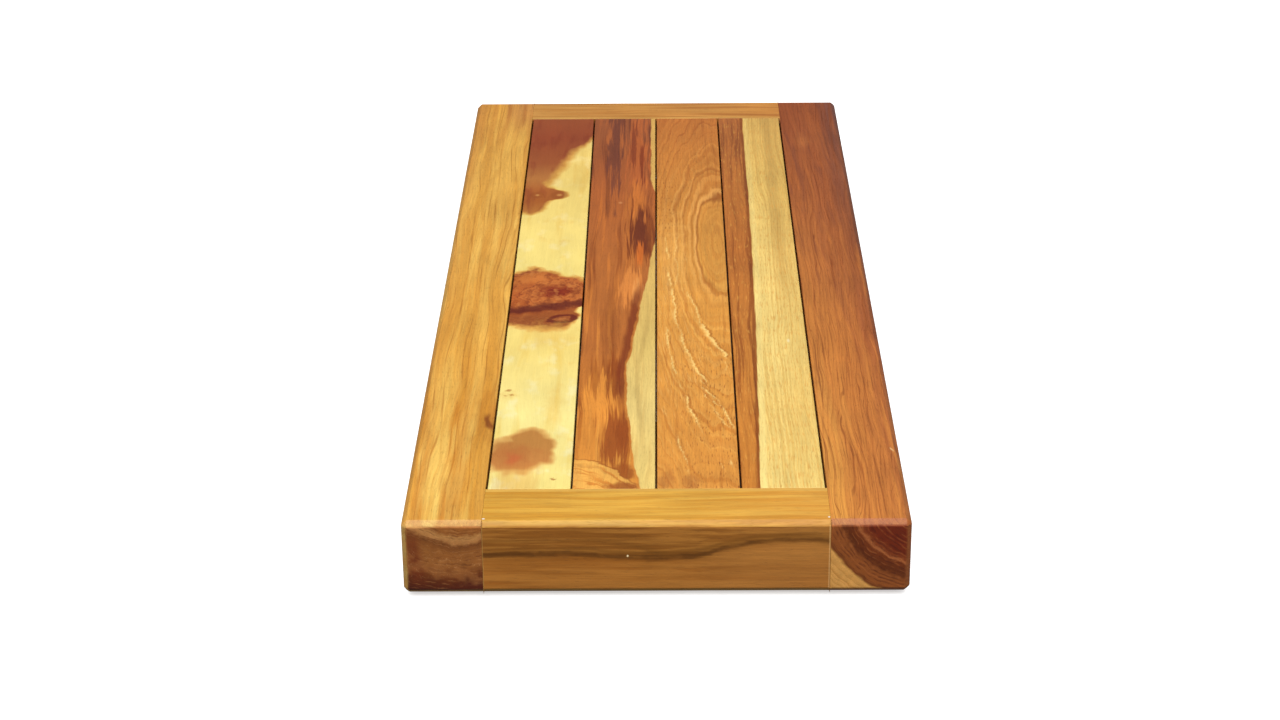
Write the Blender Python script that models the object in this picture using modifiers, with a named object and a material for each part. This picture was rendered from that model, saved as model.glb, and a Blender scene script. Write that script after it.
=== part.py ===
"""Slatted wooden bath mat: a mortised frame, four boards on cross battens, rubber feet.

Frame of reference: +X to the right, +Y from the front rail to the rear rail, +Z up.
The origin is on the floor under the middle of the mat. Lengths are metres.
"""

import math

import bmesh
import bpy
from mathutils import Matrix

MM = 0.001

# Driving dimensions of the whole mat
MAT_WIDTH = 305.0 * MM
MAT_LENGTH = 762.0 * MM
FRAME_DEPTH = 49.0 * MM
FOOT_PROUD = 3.0 * MM
FIT = 0.3 * MM

# Frame timbers
STILE_WIDTH = 48.3 * MM
RAIL_WIDTH = 43.0 * MM
ARRIS_RADIUS = 3.5 * MM
TENON_LENGTH = 30.0 * MM
TENON_WIDTH = 14.0 * MM
TENON_HEIGHT = 30.0 * MM
PEG_RADIUS = 4.0 * MM
PEG_LENGTH = 40.0 * MM
PEG_CHAMFER = 0.5 * MM

# Slats, held by a tongue at each end
SLAT_COUNT = 4
SLAT_GAP = 1.4 * MM
SLAT_THICKNESS = 18.0 * MM
SLAT_EASING = 0.8 * MM
TONGUE_LENGTH = 10.0 * MM
TONGUE_THICKNESS = 8.4 * MM
TONGUE_INSET = 3.0 * MM

# Battens under the slats, housed in the stiles
BATTEN_WIDTH = 36.0 * MM
BATTEN_THICKNESS = 18.0 * MM
BATTEN_HOUSING = 10.0 * MM
BATTEN_PITCH = 225.0 * MM
BATTEN_EASING = 1.5 * MM

# Countersunk stainless wood screws
SHANK_RADIUS = 2.0 * MM
HEAD_RADIUS = 4.0 * MM
HEAD_RIM = 0.3 * MM
POINT_LENGTH = 4.0 * MM
BATTEN_SCREW_LENGTH = 30.0 * MM
FOOT_SCREW_LENGTH = 20.0 * MM
PILOT_SPARE = 2.0 * MM
RECESS_SPAN = 4.2 * MM
RECESS_WIDTH = 0.9 * MM
RECESS_DEPTH = 1.3 * MM

# Turned rubber feet, let into the stiles
FOOT_RADIUS = 10.0 * MM
FOOT_POCKET_DEPTH = 3.0 * MM
FOOT_EDGE_RADIUS = 1.2 * MM
FOOT_END_DISTANCE = 75.0 * MM
FOOT_SCREW_RISE = 1.0 * MM

ROUND_STEPS = 16
FOOT_STEPS = 24
ARRIS_SEGMENTS = 3
SHARP_ANGLE = math.radians(35.0)

# Sizes and levels that follow from them
FRAME_BOTTOM = FOOT_PROUD
FRAME_TOP = FOOT_PROUD + FRAME_DEPTH
FRAME_MIDDLE = (FRAME_BOTTOM + FRAME_TOP) / 2
OPENING_WIDTH = MAT_WIDTH - 2 * STILE_WIDTH
OPENING_LENGTH = MAT_LENGTH - 2 * RAIL_WIDTH
SLAT_WIDTH = (OPENING_WIDTH - (SLAT_COUNT + 1) * SLAT_GAP) / SLAT_COUNT
SLAT_PITCH = SLAT_WIDTH + SLAT_GAP
SLAT_MIDDLE = FRAME_TOP - SLAT_THICKNESS / 2
SLAT_BOTTOM = FRAME_TOP - SLAT_THICKNESS
BATTEN_TOP = SLAT_BOTTOM - FIT
BATTEN_BOTTOM = BATTEN_TOP - BATTEN_THICKNESS
BATTEN_MIDDLE = (BATTEN_TOP + BATTEN_BOTTOM) / 2
STILE_X = (MAT_WIDTH - STILE_WIDTH) / 2
RAIL_Y = (MAT_LENGTH - RAIL_WIDTH) / 2
PEG_X = STILE_X - STILE_WIDTH / 2 + TENON_LENGTH / 2
FOOT_Y = MAT_LENGTH / 2 - FOOT_END_DISTANCE
HOLE_RADIUS = SHANK_RADIUS + FIT
HEAD_DEPTH = HEAD_RADIUS - SHANK_RADIUS + HEAD_RIM

SIDES = {"left": -1, "right": 1}
ENDS = {"front": -1, "rear": 1}
ROWS = {"front": -1, "middle": 0, "rear": 1}

# Colour, roughness and metallic value of each finish
FINISHES = {
    "left_stile_wood": ((0.60, 0.34, 0.11), 0.38, 0.0),
    "right_stile_wood": ((0.40, 0.15, 0.06), 0.38, 0.0),
    "front_rail_wood": ((0.62, 0.36, 0.11), 0.38, 0.0),
    "rear_rail_wood": ((0.52, 0.28, 0.10), 0.38, 0.0),
    "slat_1_wood": ((0.82, 0.66, 0.32), 0.40, 0.0),
    "slat_2_wood": ((0.34, 0.13, 0.05), 0.40, 0.0),
    "slat_3_wood": ((0.48, 0.23, 0.08), 0.45, 0.0),
    "slat_4_wood": ((0.66, 0.50, 0.26), 0.42, 0.0),
    "batten_wood": ((0.46, 0.25, 0.10), 0.55, 0.0),
    "peg_wood": ((0.55, 0.36, 0.18), 0.55, 0.0),
    "foot_rubber": ((0.03, 0.03, 0.03), 0.80, 0.0),
    "screw_steel": ((0.60, 0.60, 0.58), 0.30, 1.0),
}


# ---------------------------------------------------------------- scene helpers

def clear_scene():
    for thing in list(bpy.data.objects):
        bpy.data.objects.remove(thing, do_unlink=True)


def new_collection(name):
    collection = bpy.data.collections.new(name)
    bpy.context.scene.collection.children.link(collection)
    return collection


def new_material(name):
    colour, roughness, metallic = FINISHES[name]
    material = bpy.data.materials.new(name)
    material.use_nodes = True
    shader = material.node_tree.nodes["Principled BSDF"]
    shader.inputs["Base Color"].default_value = (*colour, 1.0)
    shader.inputs["Roughness"].default_value = roughness
    shader.inputs["Metallic"].default_value = metallic
    material.diffuse_color = (*colour, 1.0)
    return material


def to_mesh(name, bm):
    mesh = bpy.data.meshes.new(name)
    bm.to_mesh(mesh)
    bm.free()
    return mesh


def place(name, mesh, finish, location=(0.0, 0.0, 0.0), turn=0.0):
    """Add one piece of the mat, turned about the vertical."""
    piece = bpy.data.objects.new(name, mesh)
    piece.location = location
    piece.rotation_euler = (0.0, 0.0, turn)
    piece.parent = root
    if not mesh.materials:
        mesh.materials.append(materials[finish])
    parts.objects.link(piece)
    return piece


# ---------------------------------------------------------------- shape helpers

def add_block(bm, size, centre=(0.0, 0.0, 0.0)):
    stretch = Matrix.Translation(centre) @ Matrix.Diagonal((*size, 1.0))
    bmesh.ops.create_cube(bm, size=1.0, matrix=stretch)


def add_drum(bm, x, y, low, high, low_radius, high_radius):
    """A vertical cylinder or cone from one level to another."""
    bmesh.ops.create_cone(
        bm, cap_ends=True, segments=ROUND_STEPS, radius1=low_radius, radius2=high_radius,
        depth=high - low, matrix=Matrix.Translation((x, y, (low + high) / 2)))


def round_edges(bm, wanted, radius, segments):
    edges = [edge for edge in bm.edges if wanted(edge)]
    bmesh.ops.bevel(bm, geom=edges, offset=radius, segments=segments, profile=0.5,
                    affect="EDGES", clamp_overlap=True)


def shape_with(piece, name, bm, operation):
    """Cut a piece with a tool, or join the tool to it; the tool moves with the piece."""
    tool = bpy.data.objects.new(f"{piece.name}_{name}", to_mesh(name, bm))
    tool.parent = piece
    tool.hide_render = True
    tool.display_type = "WIRE"
    cutters.objects.link(tool)
    boolean = piece.modifiers.new(name, "BOOLEAN")
    boolean.operation = operation
    boolean.solver = "EXACT"
    boolean.object = tool


def cut(piece, name, bm):
    shape_with(piece, name, bm, "DIFFERENCE")


def join(piece, name, bm):
    shape_with(piece, name, bm, "UNION")


def lathe(name, profile, steps, closed=False):
    """Turn a profile of (radius, height) points about the vertical."""
    bm = bmesh.new()
    points = [bm.verts.new((radius, 0.0, height)) for radius, height in profile]
    for start, end in zip(points, points[1:]):
        bm.edges.new((start, end))
    if closed:
        bm.edges.new((points[-1], points[0]))
    turned = bpy.data.objects.new(name, to_mesh(name, bm))
    screw = turned.modifiers.new("turn", "SCREW")
    screw.steps = steps
    screw.render_steps = steps
    screw.use_merge_vertices = True
    screw.merge_threshold = 0.00001
    return turned


def smooth(mesh):
    mesh.shade_smooth()
    mesh.set_sharp_from_angle(angle=SHARP_ANGLE)


def finished_mesh(shape, name):
    """The shape with its modifiers applied, as a mesh that copies can share."""
    cutters.objects.link(shape)
    bpy.context.view_layer.update()
    evaluated = shape.evaluated_get(bpy.context.evaluated_depsgraph_get())
    mesh = bpy.data.meshes.new_from_object(evaluated)
    mesh.name = name
    smooth(mesh)
    bpy.data.objects.remove(shape, do_unlink=True)
    return mesh


# ---------------------------------------------------------------- frame

def slat_x(index):
    return (index - (SLAT_COUNT - 1) / 2) * SLAT_PITCH


def make_stile(side):
    """A side timber with its inner face towards the slats; the right one is turned round."""
    bm = bmesh.new()
    add_block(bm, (STILE_WIDTH, MAT_LENGTH, FRAME_DEPTH))
    round_edges(bm, lambda edge: min(v.co.x for v in edge.verts) < 0, ARRIS_RADIUS,
                ARRIS_SEGMENTS)
    direction = SIDES[side]
    turn = 0.0 if direction < 0 else math.pi
    stile = place(f"{side}_stile", to_mesh("stile", bm), f"{side}_stile_wood",
                  (direction * STILE_X, 0.0, FRAME_MIDDLE), turn)
    inner_face = STILE_WIDTH / 2
    below = -FRAME_DEPTH / 2

    mortises = bmesh.new()
    for end in ENDS.values():
        size = (2 * (TENON_LENGTH + FIT), TENON_WIDTH + 2 * FIT, TENON_HEIGHT + 2 * FIT)
        add_block(mortises, size, (inner_face, end * RAIL_Y, 0.0))
    for row in ROWS.values():
        size = (2 * (BATTEN_HOUSING + FIT), BATTEN_WIDTH + 2 * FIT, BATTEN_THICKNESS + 2 * FIT)
        add_block(mortises, size, (inner_face, row * BATTEN_PITCH, BATTEN_MIDDLE - FRAME_MIDDLE))
    cut(stile, "mortises", mortises)

    pockets = bmesh.new()
    for row in ROWS.values():
        add_drum(pockets, 0.0, row * FOOT_Y, below - FIT, below + FOOT_POCKET_DEPTH,
                 FOOT_RADIUS + FIT, FOOT_RADIUS + FIT)
    cut(stile, "foot_pockets", pockets)

    bores = bmesh.new()
    peg_x = inner_face - TENON_LENGTH / 2
    for end in ENDS.values():
        add_drum(bores, peg_x, end * RAIL_Y, below - FIT, below + PEG_LENGTH + FIT,
                 PEG_RADIUS + FIT, PEG_RADIUS + FIT)
    pilot_top = FOOT_SCREW_RISE + FOOT_SCREW_LENGTH + PILOT_SPARE - FRAME_MIDDLE
    for row in ROWS.values():
        add_drum(bores, 0.0, row * FOOT_Y, below - FIT, pilot_top, HOLE_RADIUS, HOLE_RADIUS)
    cut(stile, "bores", bores)


def make_rail(end):
    """An end timber with tenons, a slat groove and peg holes; the rear one is turned round."""
    length = OPENING_WIDTH - 2 * FIT
    bm = bmesh.new()
    add_block(bm, (length, RAIL_WIDTH, FRAME_DEPTH))
    round_edges(bm, lambda edge: max(v.co.y for v in edge.verts) < 0
                and abs(edge.verts[0].co.x - edge.verts[1].co.x) > RAIL_WIDTH,
                ARRIS_RADIUS, ARRIS_SEGMENTS)
    direction = ENDS[end]
    turn = 0.0 if direction < 0 else math.pi
    rail = place(f"{end}_rail", to_mesh("rail", bm), f"{end}_rail_wood",
                 (0.0, direction * RAIL_Y, FRAME_MIDDLE), turn)

    tenons = bmesh.new()
    add_block(tenons, (OPENING_WIDTH + 2 * TENON_LENGTH, TENON_WIDTH, TENON_HEIGHT))
    join(rail, "tenons", tenons)

    groove = bmesh.new()
    size = (length + 2 * FIT, 2 * (TONGUE_LENGTH + FIT), TONGUE_THICKNESS + 2 * FIT)
    add_block(groove, size, (0.0, RAIL_WIDTH / 2, SLAT_MIDDLE - FRAME_MIDDLE))
    cut(rail, "slat_groove", groove)

    peg_holes = bmesh.new()
    for side in SIDES.values():
        add_drum(peg_holes, side * PEG_X, 0.0, -TENON_HEIGHT, TENON_HEIGHT,
                 PEG_RADIUS + FIT, PEG_RADIUS + FIT)
    cut(rail, "peg_holes", peg_holes)


def make_pegs():
    """Dowels driven up from the underside through each tenon."""
    bm = bmesh.new()
    add_drum(bm, 0.0, 0.0, 0.0, PEG_LENGTH, PEG_RADIUS, PEG_RADIUS)
    round_edges(bm, lambda edge: edge.verts[0].co.z == edge.verts[1].co.z,
                PEG_CHAMFER, 1)
    mesh = to_mesh("tenon_peg", bm)
    smooth(mesh)
    for end, along in ENDS.items():
        for side, across in SIDES.items():
            place(f"tenon_peg_{end}_{side}", mesh, "peg_wood",
                  (across * PEG_X, along * RAIL_Y, FRAME_BOTTOM))


# ---------------------------------------------------------------- slats and battens

def make_slat(index):
    """A board with eased top edges, a tongue at each end and blind screw holes."""
    bm = bmesh.new()
    add_block(bm, (SLAT_WIDTH, OPENING_LENGTH - 2 * FIT, SLAT_THICKNESS))
    round_edges(bm, lambda edge: min(v.co.z for v in edge.verts) > 0
                and abs(edge.verts[0].co.y - edge.verts[1].co.y) > SLAT_WIDTH,
                SLAT_EASING, 2)
    name = f"slat_{index + 1}"
    slat = place(name, to_mesh("slat", bm), f"{name}_wood", (slat_x(index), 0.0, SLAT_MIDDLE))

    tongues = bmesh.new()
    add_block(tongues, (SLAT_WIDTH - 2 * TONGUE_INSET, OPENING_LENGTH + 2 * TONGUE_LENGTH,
                        TONGUE_THICKNESS))
    join(slat, "tongues", tongues)

    pilots = bmesh.new()
    below = -SLAT_THICKNESS / 2
    screw_tip = BATTEN_BOTTOM + BATTEN_SCREW_LENGTH - SLAT_BOTTOM
    for row in ROWS.values():
        add_drum(pilots, 0.0, row * BATTEN_PITCH, below - FIT, below + screw_tip + PILOT_SPARE,
                 HOLE_RADIUS, HOLE_RADIUS)
    cut(slat, "pilots", pilots)


def make_batten(row):
    """A cross bar under the slats with one countersunk hole for each slat."""
    bm = bmesh.new()
    add_block(bm, (OPENING_WIDTH + 2 * BATTEN_HOUSING, BATTEN_WIDTH, BATTEN_THICKNESS))
    round_edges(bm, lambda edge: max(v.co.z for v in edge.verts) < 0
                and abs(edge.verts[0].co.x - edge.verts[1].co.x) > BATTEN_WIDTH,
                BATTEN_EASING, 2)
    batten = place(f"{row}_batten", to_mesh("batten", bm), "batten_wood",
                   (0.0, ROWS[row] * BATTEN_PITCH, BATTEN_MIDDLE))
    half = BATTEN_THICKNESS / 2

    holes = bmesh.new()
    for index in range(SLAT_COUNT):
        add_drum(holes, slat_x(index), 0.0, -half - FIT, half + FIT, HOLE_RADIUS, HOLE_RADIUS)
    cut(batten, "screw_holes", holes)

    sinks = bmesh.new()
    mouth = HEAD_RADIUS + HEAD_RIM + FIT
    for index in range(SLAT_COUNT):
        add_drum(sinks, slat_x(index), 0.0, -half - FIT, -half + mouth - SHANK_RADIUS,
                 mouth + FIT, SHANK_RADIUS)
    cut(batten, "countersinks", sinks)


# ---------------------------------------------------------------- fasteners and feet

def screw_mesh(name, length):
    """A countersunk screw, head down, point up, with a cross recess in the head."""
    profile = [
        (0.0, length),
        (SHANK_RADIUS, length - POINT_LENGTH),
        (SHANK_RADIUS, HEAD_DEPTH),
        (HEAD_RADIUS, HEAD_RIM),
        (HEAD_RADIUS, 0.0),
        (0.0, 0.0),
    ]
    blank = lathe(name, profile, ROUND_STEPS)
    for bar, size in {
        "recess_x": (RECESS_SPAN, RECESS_WIDTH, 2 * RECESS_DEPTH),
        "recess_y": (RECESS_WIDTH, RECESS_SPAN, 2 * RECESS_DEPTH),
    }.items():
        bm = bmesh.new()
        add_block(bm, size)
        cut(blank, bar, bm)
    return finished_mesh(blank, name)


def make_batten_screws():
    mesh = screw_mesh("batten_screw", BATTEN_SCREW_LENGTH)
    for row, along in ROWS.items():
        for index in range(SLAT_COUNT):
            place(f"batten_screw_{row}_{index + 1}", mesh, "screw_steel",
                  (slat_x(index), along * BATTEN_PITCH, BATTEN_BOTTOM))


def foot_mesh():
    """A turned rubber foot with a countersunk hole for its screw, standing on its base."""
    height = FOOT_PROUD + FOOT_POCKET_DEPTH - FIT
    seat = FOOT_SCREW_RISE + HEAD_RIM
    recess = HEAD_RADIUS + FIT
    edge = [(FOOT_RADIUS - FOOT_EDGE_RADIUS * (1 - math.cos(angle)),
             FOOT_EDGE_RADIUS * (1 - math.sin(angle)))
            for angle in (0.0, math.pi / 6, math.pi / 3, math.pi / 2)]
    profile = [
        (HOLE_RADIUS, height),
        (FOOT_RADIUS, height),
        *edge,
        (recess, 0.0),
        (recess, seat),
        (HOLE_RADIUS, seat + recess - HOLE_RADIUS),
    ]
    return finished_mesh(lathe("foot", profile, FOOT_STEPS, closed=True), "foot")


def make_feet():
    rubber = foot_mesh()
    screw = screw_mesh("foot_screw", FOOT_SCREW_LENGTH)
    for row, along in ROWS.items():
        for side, across in SIDES.items():
            spot = (across * STILE_X, along * FOOT_Y, 0.0)
            place(f"foot_{row}_{side}", rubber, "foot_rubber", spot)
            place(f"foot_screw_{row}_{side}", screw, "screw_steel",
                  (spot[0], spot[1], FOOT_SCREW_RISE))


clear_scene()
parts = new_collection("bath_mat")
cutters = new_collection("bath_mat_cutters")
materials = {name: new_material(name) for name in FINISHES}
root = bpy.data.objects.new("bath_mat_origin", None)
parts.objects.link(root)

for side_name in SIDES:
    make_stile(side_name)
for end_name in ENDS:
    make_rail(end_name)
make_pegs()
for slat_index in range(SLAT_COUNT):
    make_slat(slat_index)
for row_name in ROWS:
    make_batten(row_name)
make_batten_screws()
make_feet()
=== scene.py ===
"""Looks of the slatted wooden bath mat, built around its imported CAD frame.

Row frame: +X right, +Y from the front rail to the rear rail, +Z up, in metres. The wood's
patterns are written in millimetres, in each board's own directions: across it, along it from
its rear or left end, and down from its top.
"""

import math

import bmesh
import bpy
from mathutils import Matrix, Vector, noise


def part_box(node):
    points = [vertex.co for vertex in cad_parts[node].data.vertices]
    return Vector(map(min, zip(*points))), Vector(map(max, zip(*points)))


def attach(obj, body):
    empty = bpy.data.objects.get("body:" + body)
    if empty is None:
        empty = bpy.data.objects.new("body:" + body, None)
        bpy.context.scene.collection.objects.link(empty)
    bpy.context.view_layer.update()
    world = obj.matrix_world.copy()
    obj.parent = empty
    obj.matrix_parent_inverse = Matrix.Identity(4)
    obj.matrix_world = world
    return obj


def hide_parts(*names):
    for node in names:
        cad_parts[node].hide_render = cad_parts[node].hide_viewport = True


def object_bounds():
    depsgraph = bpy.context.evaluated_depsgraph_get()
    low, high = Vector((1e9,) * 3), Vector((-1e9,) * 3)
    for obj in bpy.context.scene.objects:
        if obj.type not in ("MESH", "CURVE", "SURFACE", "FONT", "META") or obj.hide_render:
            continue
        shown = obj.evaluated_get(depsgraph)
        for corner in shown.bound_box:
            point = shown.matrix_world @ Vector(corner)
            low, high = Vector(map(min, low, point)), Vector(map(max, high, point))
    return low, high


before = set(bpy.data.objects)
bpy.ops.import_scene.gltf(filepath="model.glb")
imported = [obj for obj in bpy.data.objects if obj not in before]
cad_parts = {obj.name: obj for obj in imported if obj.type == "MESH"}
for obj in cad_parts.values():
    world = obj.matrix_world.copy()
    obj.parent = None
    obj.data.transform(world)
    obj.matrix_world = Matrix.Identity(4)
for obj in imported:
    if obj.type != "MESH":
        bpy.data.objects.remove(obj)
cad_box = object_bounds()

MM = 0.001
SIDES = ("left", "right")
ENDS = ("front", "rear")
ROWS = ("front", "middle", "rear")
SLAT_NUMBERS = (1, 2, 3, 4)

MAT_REAR = cad_box[1][1] / MM
TOP = cad_box[1][2]
LENGTH = (cad_box[1][1] - cad_box[0][1]) / MM
MAT_WIDTH = (cad_box[1][0] - cad_box[0][0]) / MM
OPENING_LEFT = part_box("left_stile")[1].x
OPENING_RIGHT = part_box("right_stile")[0].x
RAIL_WIDTH = (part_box("front_rail")[1].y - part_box("front_rail")[0].y) / MM

# Light on the top at the rear and front ends of the mat, and on its front face, as a share of
# what makes a white surface white; the shine adds a little to it
REAR_LIGHT = 1.235
FRONT_LIGHT = 1.63
FACE_LIGHT = 0.735
TOP_SHINE = 0.017
FACE_SHINE = 0.007
FACE = "front face"

# The directions in which a box's sides face
ALL_SIDES = {(1, 0, 0), (-1, 0, 0), (0, 1, 0), (0, -1, 0), (0, 0, 1), (0, 0, -1)}

# Edges of the timbers, how far wear rounds them, and how finely their faces are sliced for that
CHAMFER = 3.6 * MM
BATTEN_CHAMFER = 1.6 * MM
FRAME_EASING = 0.15 * MM
SLAT_EASING = 0.45 * MM
UNDER_EASING = 0.3 * MM
EDGE_STEPS = 5
EDGE_ROUNDNESS = 0.34
WEAR_DEPTH = 0.35 * MM
WEAR_LIMIT = 0.12
SLICE = 4.0 * MM
FINE_SLICE_ALONG = 1.5 * MM
FINE_SLICE_ACROSS = 0.9 * MM

# How much further than its CAD box each slat reaches on both sides, to narrow the drain gaps
SLAT_SPREAD = 0.1 * MM

# Joinery hidden inside the frame, as in the CAD model, and the gap left round every joint
TIGHT = 0.05 * MM
TENON_WIDTH = 14.0 * MM
TENON_HEIGHT = 30.0 * MM
TONGUE_THICKNESS = 8.4 * MM
TONGUE_INSET = 3.0 * MM
HOLE_RADIUS = 2.3 * MM
HEAD_ROOM = 0.6 * MM
SLAT_PILOT_DEPTH = 14.3 * MM
PEG_RIM = 0.5 * MM
PEG_FOOT_RIM = 0.3 * MM
PEG_ROWS = 12
PEG_FLUTES = 16
FLUTE_DEPTH = 0.22 * MM

# Screws and feet
SCREW_CORE = 1.45 * MM
SCREW_CREST = 2.0 * MM
SCREW_RIM = 0.3 * MM
SCREW_SHANK = 2.4 * MM
SCREW_POINT = 5.0 * MM
THREAD_PITCH = 1.7 * MM
THREAD_ROWS = 110
RECESS_SPAN = 4.4 * MM
RECESS_WIDTH = 0.95 * MM
RECESS_DEPTH = 1.6 * MM
RECESS_TURN = math.radians(20)
TURN_BETWEEN_COPIES = 0.7
FOOT_RIM = 1.4 * MM
FOOT_EASING = 0.3 * MM
GROOVE_DEPTH = 0.4 * MM
GROOVE_INSETS = (2.2, 2.5, 3.1, 3.4)
HEAD_CLEARANCE = 0.2 * MM
SEAT_RISE = 0.4 * MM

# Where each board's random patterns start
SEEDS = {"left_stile": 3.0, "right_stile": 11.0, "front_rail": 17.0, "rear_rail": 23.0,
         "slat_1": 31.0, "slat_2": 43.0, "slat_3": 57.0, "slat_4": 71.0,
         "front_batten": 80.0, "middle_batten": 83.0, "rear_batten": 86.0}

# Pale torn edges in slat 3, with painted highlight on them and painted shadow beside them: how
# strong, and places along and across it in millimetres
TORN_EDGES = (
    (0.9, ((296, 6.5), (340, 8), (381, 7.7), (399, 10), (426, 13.5))),
    (0.6, ((300, 15.5), (345, 13.5), (381, 14.7), (412, 12.5))),
    (1.1, ((400, 9), (424, 11.5), (436, 12.7), (471, 13.8), (484, 14.8))),
    (1.3, ((474, 14), (501, 17.2), (524, 22.5), (541, 24.2), (549, 26), (561, 31), (574, 33))),
    (1.0, ((472, 6), (501, 8), (523, 9.7), (544, 11.3), (563, 13.8), (584, 19))),
    (0.9, ((408, 21.5), (431, 24.7), (444, 28), (456, 29.2), (480, 29.8))),
    (2.2, ((466, 29), (485, 33.8), (496, 37.5), (508, 41.3), (522, 46), (532, 46.5))),
    (0.5, ((484, 20), (508, 24.7), (523, 29.7), (538, 33))),
    (0.6, ((404, 30), (413, 34), (421, 39))),
    (0.6, ((526, 46.5), (539, 45.8), (558, 43.8))),
    (1.1, ((576, 18.5), (599, 19.7), (614, 23), (626, 25.5), (638, 28), (656, 32))),
    (1.0, ((566, 28), (586, 35.5), (594, 39.7), (604, 43), (614, 44), (642, 49))),
    (0.8, ((640, 11), (664, 15.5), (674, 17.2), (691, 19.7), (706, 21))),
    (0.6, ((596, 3), (612, 5), (628, 8))),
    (1.0, ((674, 39), (690, 41), (702, 44))),
    (0.8, ((672, 47), (686, 46), (700, 47))),
    (0.35, ((168, 38), (190, 27), (232, 20))),
    (0.35, ((60, 49), (84, 48), (120, 34), (178, 26))),
)
# Short lifted splinters between them: where the group starts, how many, and their spacing
SPLINTERS = ((546, 24), 11, (8.2, 1.7))
TEAR_HEIGHT = 0.22
TEAR_REACH = 12

# The studio: the floor glows with painted light to plain white away from the mat, and keeps a faint
# contact shadow
FLOOR_SIZE = 14.0
SHADOW_REACH = (-35, 3)
GLOW_REACH = (100, 600)
WORLD_LIGHT = 0.20
SOFTBOX_SIZE = (3.4, 3.0)
SOFTBOX_PLACE = (0.0, -1.15, 2.45)
SOFTBOX_TARGET = (0.0, -0.1, 0.0)
SOFTBOX_POWER = 158.0

# The camera stands in front of the mat and looks down along it
CAMERA_PLACE = (0.0033, -1.7718, 0.7948)
CAMERA_YAW = math.radians(-0.501)
CAMERA_PITCH = math.radians(24.605)
CAMERA_ROLL = math.radians(-0.461)
CAMERA_LENS = 74.43


# ================================================================ colours

def linear(channel):
    """A 0-255 screen value as a share of white's light."""
    share = channel / 255
    if share <= 0.04045:
        return share / 12.92
    return ((share + 0.055) / 1.055) ** 2.4


def tone(red, green, blue, along=LENGTH / 2):
    """The surface colour that shows as this screen colour, in the light that falls this far
    from the mat's rear end or on its front FACE."""
    if along == FACE:
        light, shine = FACE_LIGHT, FACE_SHINE
    else:
        light = REAR_LIGHT + (FRONT_LIGHT - REAR_LIGHT) * along / LENGTH
        shine = TOP_SHINE
    seen = (red, green, blue)
    return tuple(max(linear(channel) - shine, 0.003) / light for channel in seen) + (1.0,)


# ================================================================ node formulas

class Field:
    """A value or colour that varies over a surface, for use in formulas like a number."""

    def __init__(self, graph, socket):
        self.graph = graph
        self.socket = socket

    def __add__(self, other):
        return self.graph.math("ADD", self, other)

    def __sub__(self, other):
        return self.graph.math("SUBTRACT", self, other)

    def __rsub__(self, other):
        return self.graph.math("SUBTRACT", other, self)

    def __neg__(self):
        return 0.0 - self

    def __mul__(self, other):
        return self.graph.math("MULTIPLY", self, other)

    def __truediv__(self, other):
        return self.graph.math("DIVIDE", self, other)

    __radd__ = __add__
    __rmul__ = __mul__

    def step(self, low, high):
        """0 below low, 1 above high and smooth between."""
        node = self.graph.node("ShaderNodeMapRange", interpolation_type="SMOOTHSTEP")
        for name, value in (("Value", self), ("From Min", low), ("From Max", high)):
            self.graph.feed(node.inputs[name], value)
        return Field(self.graph, node.outputs["Result"])

    def fall(self, low, high):
        """1 below low, 0 above high and smooth between."""
        return 1.0 - self.step(low, high)

    def band(self, centre, half, soft):
        """1 within half of the centre, fading to 0 over the soft width outside it."""
        away = self.graph.math("ABSOLUTE", self - centre)
        return away.fall(half, half + soft)

    def curve(self, *points):
        """A smooth line through (position, height) points."""
        low, span = points[0][0], points[-1][0] - points[0][0]
        heights = [height for _, height in points]
        bottom, rise = min(heights), max(heights) - min(heights)
        node = self.graph.node("ShaderNodeFloatCurve")
        line = node.mapping.curves[0]
        while len(line.points) < len(points):
            line.points.new(0.5, 0.5)
        for point, (place, height) in zip(line.points, points):
            point.location = ((place - low) / span, (height - bottom) / rise)
            point.handle_type = "AUTO_CLAMPED"
        node.mapping.update()
        self.graph.feed(node.inputs["Value"], (self - low) / span)
        return Field(self.graph, node.outputs[0]) * rise + bottom

    def ramp(self, *stops):
        """Colours that follow each other smoothly, from (position, colour) stops."""
        low, span = stops[0][0], stops[-1][0] - stops[0][0]
        node = self.graph.node("ShaderNodeValToRGB")
        colours = node.color_ramp.elements
        while len(colours) < len(stops):
            colours.new(0.5)
        for element, (place, colour) in zip(colours, stops):
            element.position = (place - low) / span
            element.color = colour
        self.graph.feed(node.inputs["Fac"], (self - low) / span)
        return Field(self.graph, node.outputs["Color"])

    def tones(self, along, *stops):
        """Colours as seen in one place, each as (position, red, green, blue)."""
        return self.ramp(*((stop[0], tone(*stop[1:], along)) for stop in stops))

    def coat(self, share, *over):
        """This colour with another over a share of it: a field, or red, green, blue and place."""
        return self.graph.mix(share, self, tone(*over) if len(over) > 1 else over[0])

    def coats(self, *layers):
        """This colour under several coats, each as (share, colour) or (share, red, ...)."""
        colour = self
        for layer in layers:
            colour = colour.coat(*layer)
        return colour


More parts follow.
